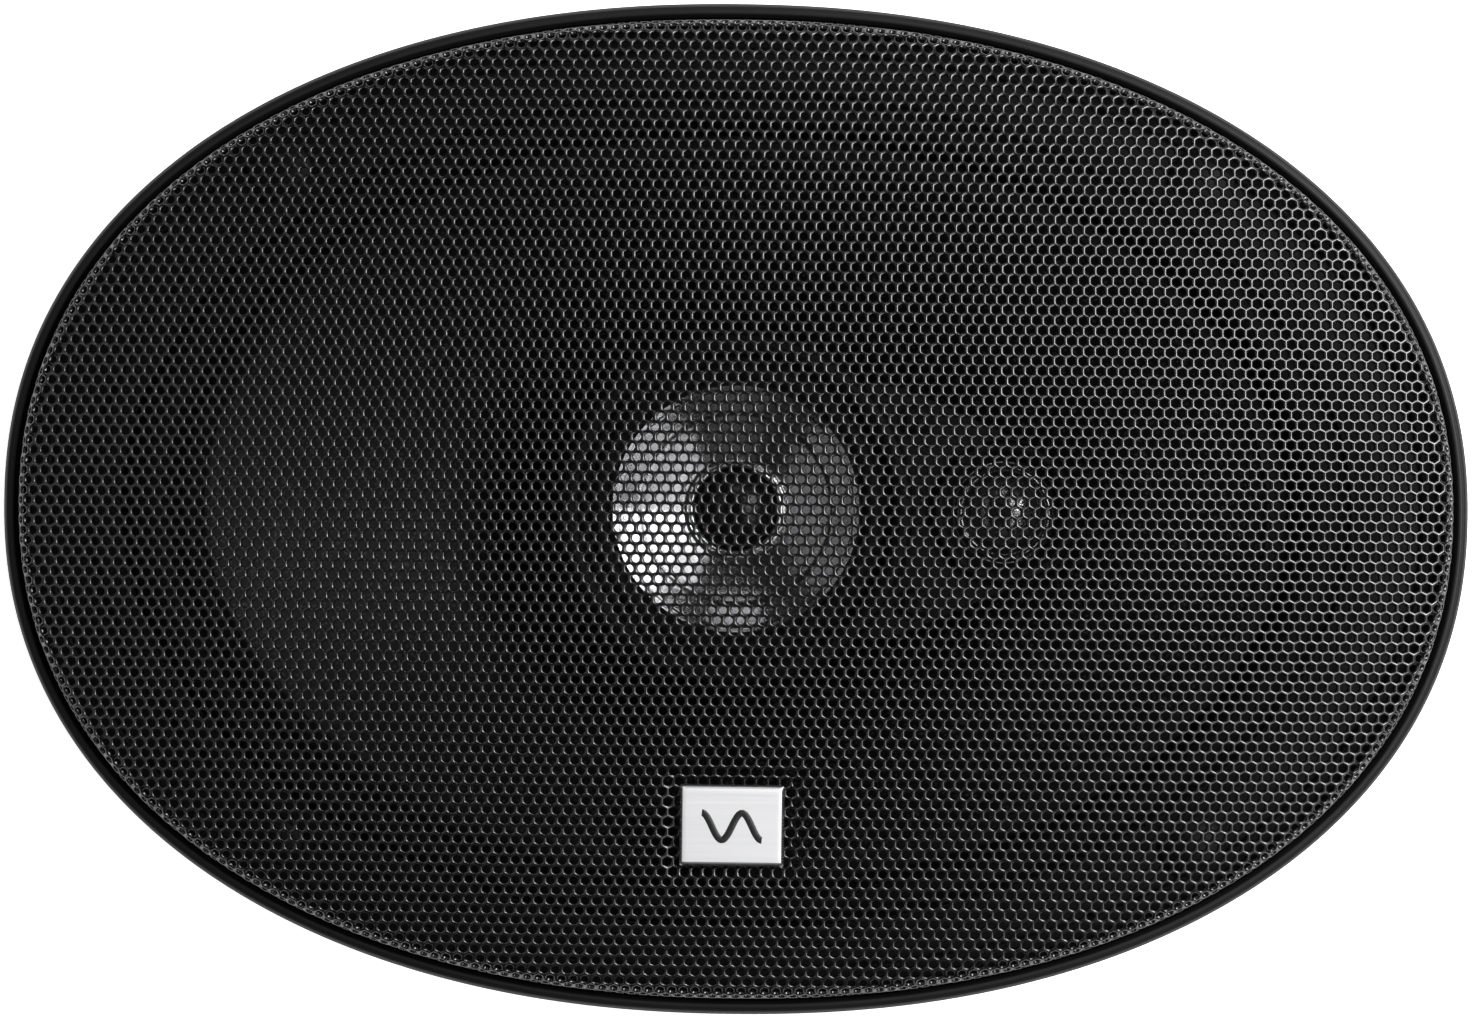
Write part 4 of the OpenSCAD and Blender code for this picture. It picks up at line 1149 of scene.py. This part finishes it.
class SpeakerSettings(bpy.types.PropertyGroup):
    """Sizes of the finished speaker and of its studio."""

    pitch: bpy.props.FloatProperty(
        name="Hole pitch", description="Distance between the grille's holes along a row",
        default=1.87 * MM, unit="LENGTH")
    sheet: bpy.props.FloatProperty(
        name="Sheet thickness", description="Thickness of the perforated sheet",
        default=0.8 * MM, unit="LENGTH")
    hole_radius: bpy.props.FloatProperty(
        name="Hole radius", description="Radius of each hole at its narrowest",
        default=0.62 * MM, unit="LENGTH")
    pocket: bpy.props.FloatProperty(
        name="Badge pocket", description="How far the mesh is pressed in round the badge",
        default=0.55 * MM, unit="LENGTH")
    bevel: bpy.props.FloatProperty(
        name="Badge bevel", description="Width of the badge's bevelled edge",
        default=0.5 * MM, unit="LENGTH")
    rib: bpy.props.FloatProperty(
        name="Leg rib", description="Height of the rib pressed along each leg of the basket",
        default=1.1 * MM, unit="LENGTH")
    corner: bpy.props.FloatProperty(
        name="Window corner", description="Rounding of the windows, as a share of half a window",
        default=0.3, min=0.05, max=0.9)
    key: bpy.props.FloatProperty(
        name="Key light", description="Brightness of the softbox at the upper right",
        default=34.0, min=0.0)
    fill: bpy.props.FloatProperty(
        name="Fill light", description="Brightness of the softbox at the left",
        default=2.0, min=0.0)
    camera_distance: bpy.props.FloatProperty(
        name="Camera distance", description="Height of the camera above the ring",
        default=CAMERA_AWAY, unit="LENGTH")


class SPEAKER_OT_grille(bpy.types.Operator):
    """Makes the bezel ring, the perforated mesh and the badge"""
    bl_idname = "speaker.grille"
    bl_label = "Grille"

    def execute(self, context):
        s = context.scene.speaker
        make_piece("grille_ring_moulded", ring_shape(), "black moulding", "grille",
                   ["grille_ring"])
        pitch, sheet = s.pitch / MM, Sheet(s.pocket / MM)
        rings = CREST_RINGS + [(s.hole_radius / MM + 0.02, 0.15)]
        p, q = mesh_cells(pitch, sheet)
        for k, band in enumerate(np.array_split(np.arange(len(p)), MESH_BANDS)):
            shape = perforated(p[band], q[band], pitch, rings, sheet, s.sheet / MM)
            make_piece(f"grille_mesh_{k + 1}", shape, "black powder coat", "grille",
                       ["grille_mesh"], sharp=75)
        make_piece("badge_plate", badge_shape(s.bevel / MM), "pale satin plate", "grille",
                   ["badge"], sharp=30)
        make_piece("badge_wave", wave_shape(9.6, 2.2, 1.1), "black inlay", "grille")
        dress("zinc plated steel", "badge_studs", "badge_push_nuts")
        return {"FINISHED"}


class SPEAKER_OT_basket(bpy.types.Operator):
    """Makes the pressed basket, its gasket and its rivets"""
    bl_idname = "speaker.basket"
    bl_label = "Basket"

    def execute(self, context):
        s = context.scene.speaker
        make_piece("basket_flange", flange_shape(), "black frame coat", "chassis",
                   ["basket"], sharp=40)
        make_piece("basket_wall", wall_shape(s.rib / MM, s.corner), "black frame coat",
                   "chassis", ["basket"], sharp=40)
        make_piece("surround_gasket_foam", gasket_shape(), "black felt", "chassis",
                   ["surround_gasket"])
        dress("zinc plated steel", "basket_rivets")
        return {"FINISHED"}


class SPEAKER_OT_motor(bpy.types.Operator):
    """Finishes the magnet, its plates and the post through them"""
    bl_idname = "speaker.motor"
    bl_label = "Motor"

    def execute(self, context):
        dress("ground ferrite", "magnet")
        dress("turned steel", "top_plate", "back_plate", "post_washer")
        dress("zinc plated steel", "post_nut", "coax_post")
        dress("black felt", "dust_ring")
        return {"FINISHED"}


class SPEAKER_OT_woofer(bpy.types.Operator):
    """Makes the cone, its surround, the spider and the tinsel leads"""
    bl_idname = "speaker.woofer"
    bl_label = "Woofer"

    def execute(self, context):
        make_piece("woofer_cone", cone_shape(), "mica filled cone", "woofer",
                   ["cone"], sharp=50)
        shape, share = surround_shape()
        make_piece("woofer_surround", shape, "butyl rubber", ("chassis", "woofer", share),
                   ["surround"], sharp=50)
        shape, share = spider_shape()
        make_piece("woofer_spider", shape, "stiffened cloth", ("chassis", "woofer", share),
                   ["spider"], sharp=60)
        shape, share = lead_shape()
        make_piece("tinsel_lead_pair", shape, "braided tinsel", ("chassis", "woofer", share),
                   ["tinsel_leads"])
        dress("amber film", "voice_coil_former")
        dress("enamelled copper", "voice_coil_winding")
        dress("tinned brass", "lead_eyelets")
        return {"FINISHED"}


class SPEAKER_OT_coaxial(bpy.types.Operator):
    """Makes the midrange and the tweeter and finishes the bridge that carries them"""
    bl_idname = "speaker.coaxial"
    bl_label = "Midrange and tweeter"

    def execute(self, context):
        make_piece("midrange_cone_film", midrange_cone_shape(), "silver film", "midrange",
                   ["midrange_cone"], sharp=60)
        shape, share = midrange_surround_shape()
        make_piece("midrange_roll", shape, "butyl rubber", ("chassis", "midrange", share),
                   ["midrange_surround"], sharp=60)
        make_piece("midrange_cap", turned(cap_profile(6.9, 3.0, 0.4, -0.45), 128), "gloss black",
                   "midrange", ["midrange_dust_cap"], sharp=60)
        make_piece("midrange_trim", trim_ring_shape(), "bright chrome", "midrange",
                   ["midrange_trim_ring"])
        make_piece("midrange_bezel_moulded", bezel_shape(MID_BEZEL, 0.6), "dull moulding",
                   "chassis", ["midrange_bezel"])
        make_piece("tweeter_bezel_moulded", bezel_shape(TWEETER_BEZEL, 0.4, (TWEETER_X, 0)),
                   "dull moulding", "chassis", ["tweeter_bezel"])
        make_piece("tweeter_dome_skin", tweeter_dome_shape(), "tweeter dome film", "tweeter",
                   ["tweeter_dome"], sharp=70)
        dress("turned steel", "midrange_cup", "midrange_pole_plate", "tweeter_cup",
              "tweeter_pole_plate")
        dress("nickel plate", "midrange_magnet", "tweeter_magnet")
        dress("enamelled copper", "midrange_coil", "tweeter_coil")
        dress("dull moulding", "coax_bridge", "tweeter_plate")
        dress("black frame coat", "midrange_frame", "bridge_screws")
        dress("capacitor sleeve", "tweeter_capacitor")
        return {"FINISHED"}


class SPEAKER_OT_terminals(bpy.types.Operator):
    """Makes the wiring and finishes the terminal panel"""
    bl_idname = "speaker.terminals"
    bl_label = "Terminals and wiring"

    def execute(self, context):
        for side, colour in ((-1, "red"), (1, "black")):
            make_piece(f"coax_lead_{colour}", coax_lead_shape(side), f"{colour} insulation",
                       "chassis", ["coax_leads"])
        dress("tinned brass", "positive_terminal", "negative_terminal", "terminal_rivets",
              "capacitor_leads")
        dress("phenolic board", "terminal_panel")
        dress("zinc plated steel", "panel_rivet")
        dress("capacitor sleeve", "crossover_capacitor")
        return {"FINISHED"}


SOFTBOX_Z = 0.75                                  # metres, as is all of the studio
COVE = [[0.001, 0], [1, 0], [3.7, 0], [3.9, 0.03], [4.0, 0.12], [4.0, 0.5]]
FRAME_WIDTH, SENSOR = 0.2386, 36.0                # what the camera takes in, and its sensor
CAMERA_ROLL = math.radians(0.75)
RING_LEVEL = 0.004                                # the level that the camera is square to


def add_softbox(name, x, y, radiance):
    """Soft light that faces down, over a plan range along X and Y. Its power is
    pi times its area times the brightness it shows."""
    data = bpy.data.lights.new(name, "AREA")
    data.shape = "RECTANGLE"
    data.size, data.size_y = x[1] - x[0], y[1] - y[0]
    data.energy = radiance * math.pi * data.size * data.size_y
    light = bpy.data.objects.new(name, data)
    bpy.context.scene.collection.objects.link(light)
    light.location = ((x[0] + x[1]) / 2, (y[0] + y[1]) / 2, SOFTBOX_Z)


def add_cove():
    """Pale floor under the motor that turns up into a low wall far away: a turned profile of
    radius and height, open at its top."""
    profile, t = np.array(COVE), angles(96)
    x, y = profile[:, :1] * np.cos(t), profile[:, :1] * np.sin(t)
    z = np.broadcast_to(profile[:, 1:] + CAD_BOX[0][2], x.shape)
    faces = grid_faces(len(profile), 96, wrap_cols=True)
    cove = make_object("cove", Shape(np.stack([x, y, z], -1) / MM, faces), "pale floor")


class SPEAKER_OT_stage(bpy.types.Operator):
    """Sets up the floor, the lights, the surroundings and the camera"""
    bl_idname = "speaker.stage"
    bl_label = "Studio"

    def execute(self, context):
        scene, s = context.scene, context.scene.speaker
        add_cove()
        add_softbox("key", (0.44, 0.68), (0.02, 0.50), s.key)
        add_softbox("key edge", (0.25, 0.44), (0.05, 0.50), s.key * 0.4)
        add_softbox("right softbox", (0.28, 0.62), (-0.50, 0.02), s.key * 0.22)
        add_softbox("left softbox", (-0.66, -0.38), (-0.45, 0.45), s.fill)
        add_softbox("top card", (-0.15, 0.15), (0.57, 0.78), s.key * 0.22)
        add_softbox("bottom card", (-0.17, 0.17), (-0.75, -0.38), s.fill * 0.25)
        world = bpy.data.worlds.new("studio")
        world.use_nodes = True
        sky = world.node_tree.nodes["Background"].inputs
        sky["Color"].default_value = (1, 1, 1, 1)
        sky["Strength"].default_value = 0.02
        scene.world = world
        scene.view_settings.view_transform = "Standard"
        scene.view_settings.look = "None"
        data = bpy.data.cameras.new("front camera")
        data.sensor_width = SENSOR
        data.lens = SENSOR * CAMERA_AWAY / FRAME_WIDTH
        data.clip_start = 0.01
        camera = bpy.data.objects.new("front camera", data)
        scene.collection.objects.link(camera)
        camera.location = (0.0, 0.0, s.camera_distance + RING_LEVEL)
        camera.rotation_euler = (0.0, 0.0, CAMERA_ROLL)
        scene.camera = camera
        return {"FINISHED"}


OPERATORS = [SPEAKER_OT_grille, SPEAKER_OT_basket, SPEAKER_OT_motor, SPEAKER_OT_woofer,
             SPEAKER_OT_coaxial, SPEAKER_OT_terminals, SPEAKER_OT_stage]


class SPEAKER_PT_panel(bpy.types.Panel):
    """Speaker's buttons and sizes in the 3D view's sidebar"""
    bl_idname = "SPEAKER_PT_panel"
    bl_label = "Speaker"
    bl_space_type = "VIEW_3D"
    bl_region_type = "UI"
    bl_category = "Speaker"

    def draw(self, context):
        for name in SpeakerSettings.__annotations__:
            self.layout.prop(context.scene.speaker, name)
        for operator in OPERATORS:
            self.layout.operator(operator.bl_idname)


CLASSES = [SpeakerSettings, *OPERATORS, SPEAKER_PT_panel]


def register():
    """Adds the classes and the scene's settings."""
    for cls in CLASSES:
        bpy.utils.register_class(cls)
    bpy.types.Scene.speaker = bpy.props.PointerProperty(type=SpeakerSettings)


def unregister():
    """Takes the settings and the classes away."""
    del bpy.types.Scene.speaker
    for cls in reversed(CLASSES):
        bpy.utils.unregister_class(cls)


def main():
    """Builds the speaker and its studio."""
    register()
    for operator in OPERATORS:
        group, name = operator.bl_idname.split(".")
        getattr(getattr(bpy.ops, group), name)()


if __name__ == "__main__":
    main()
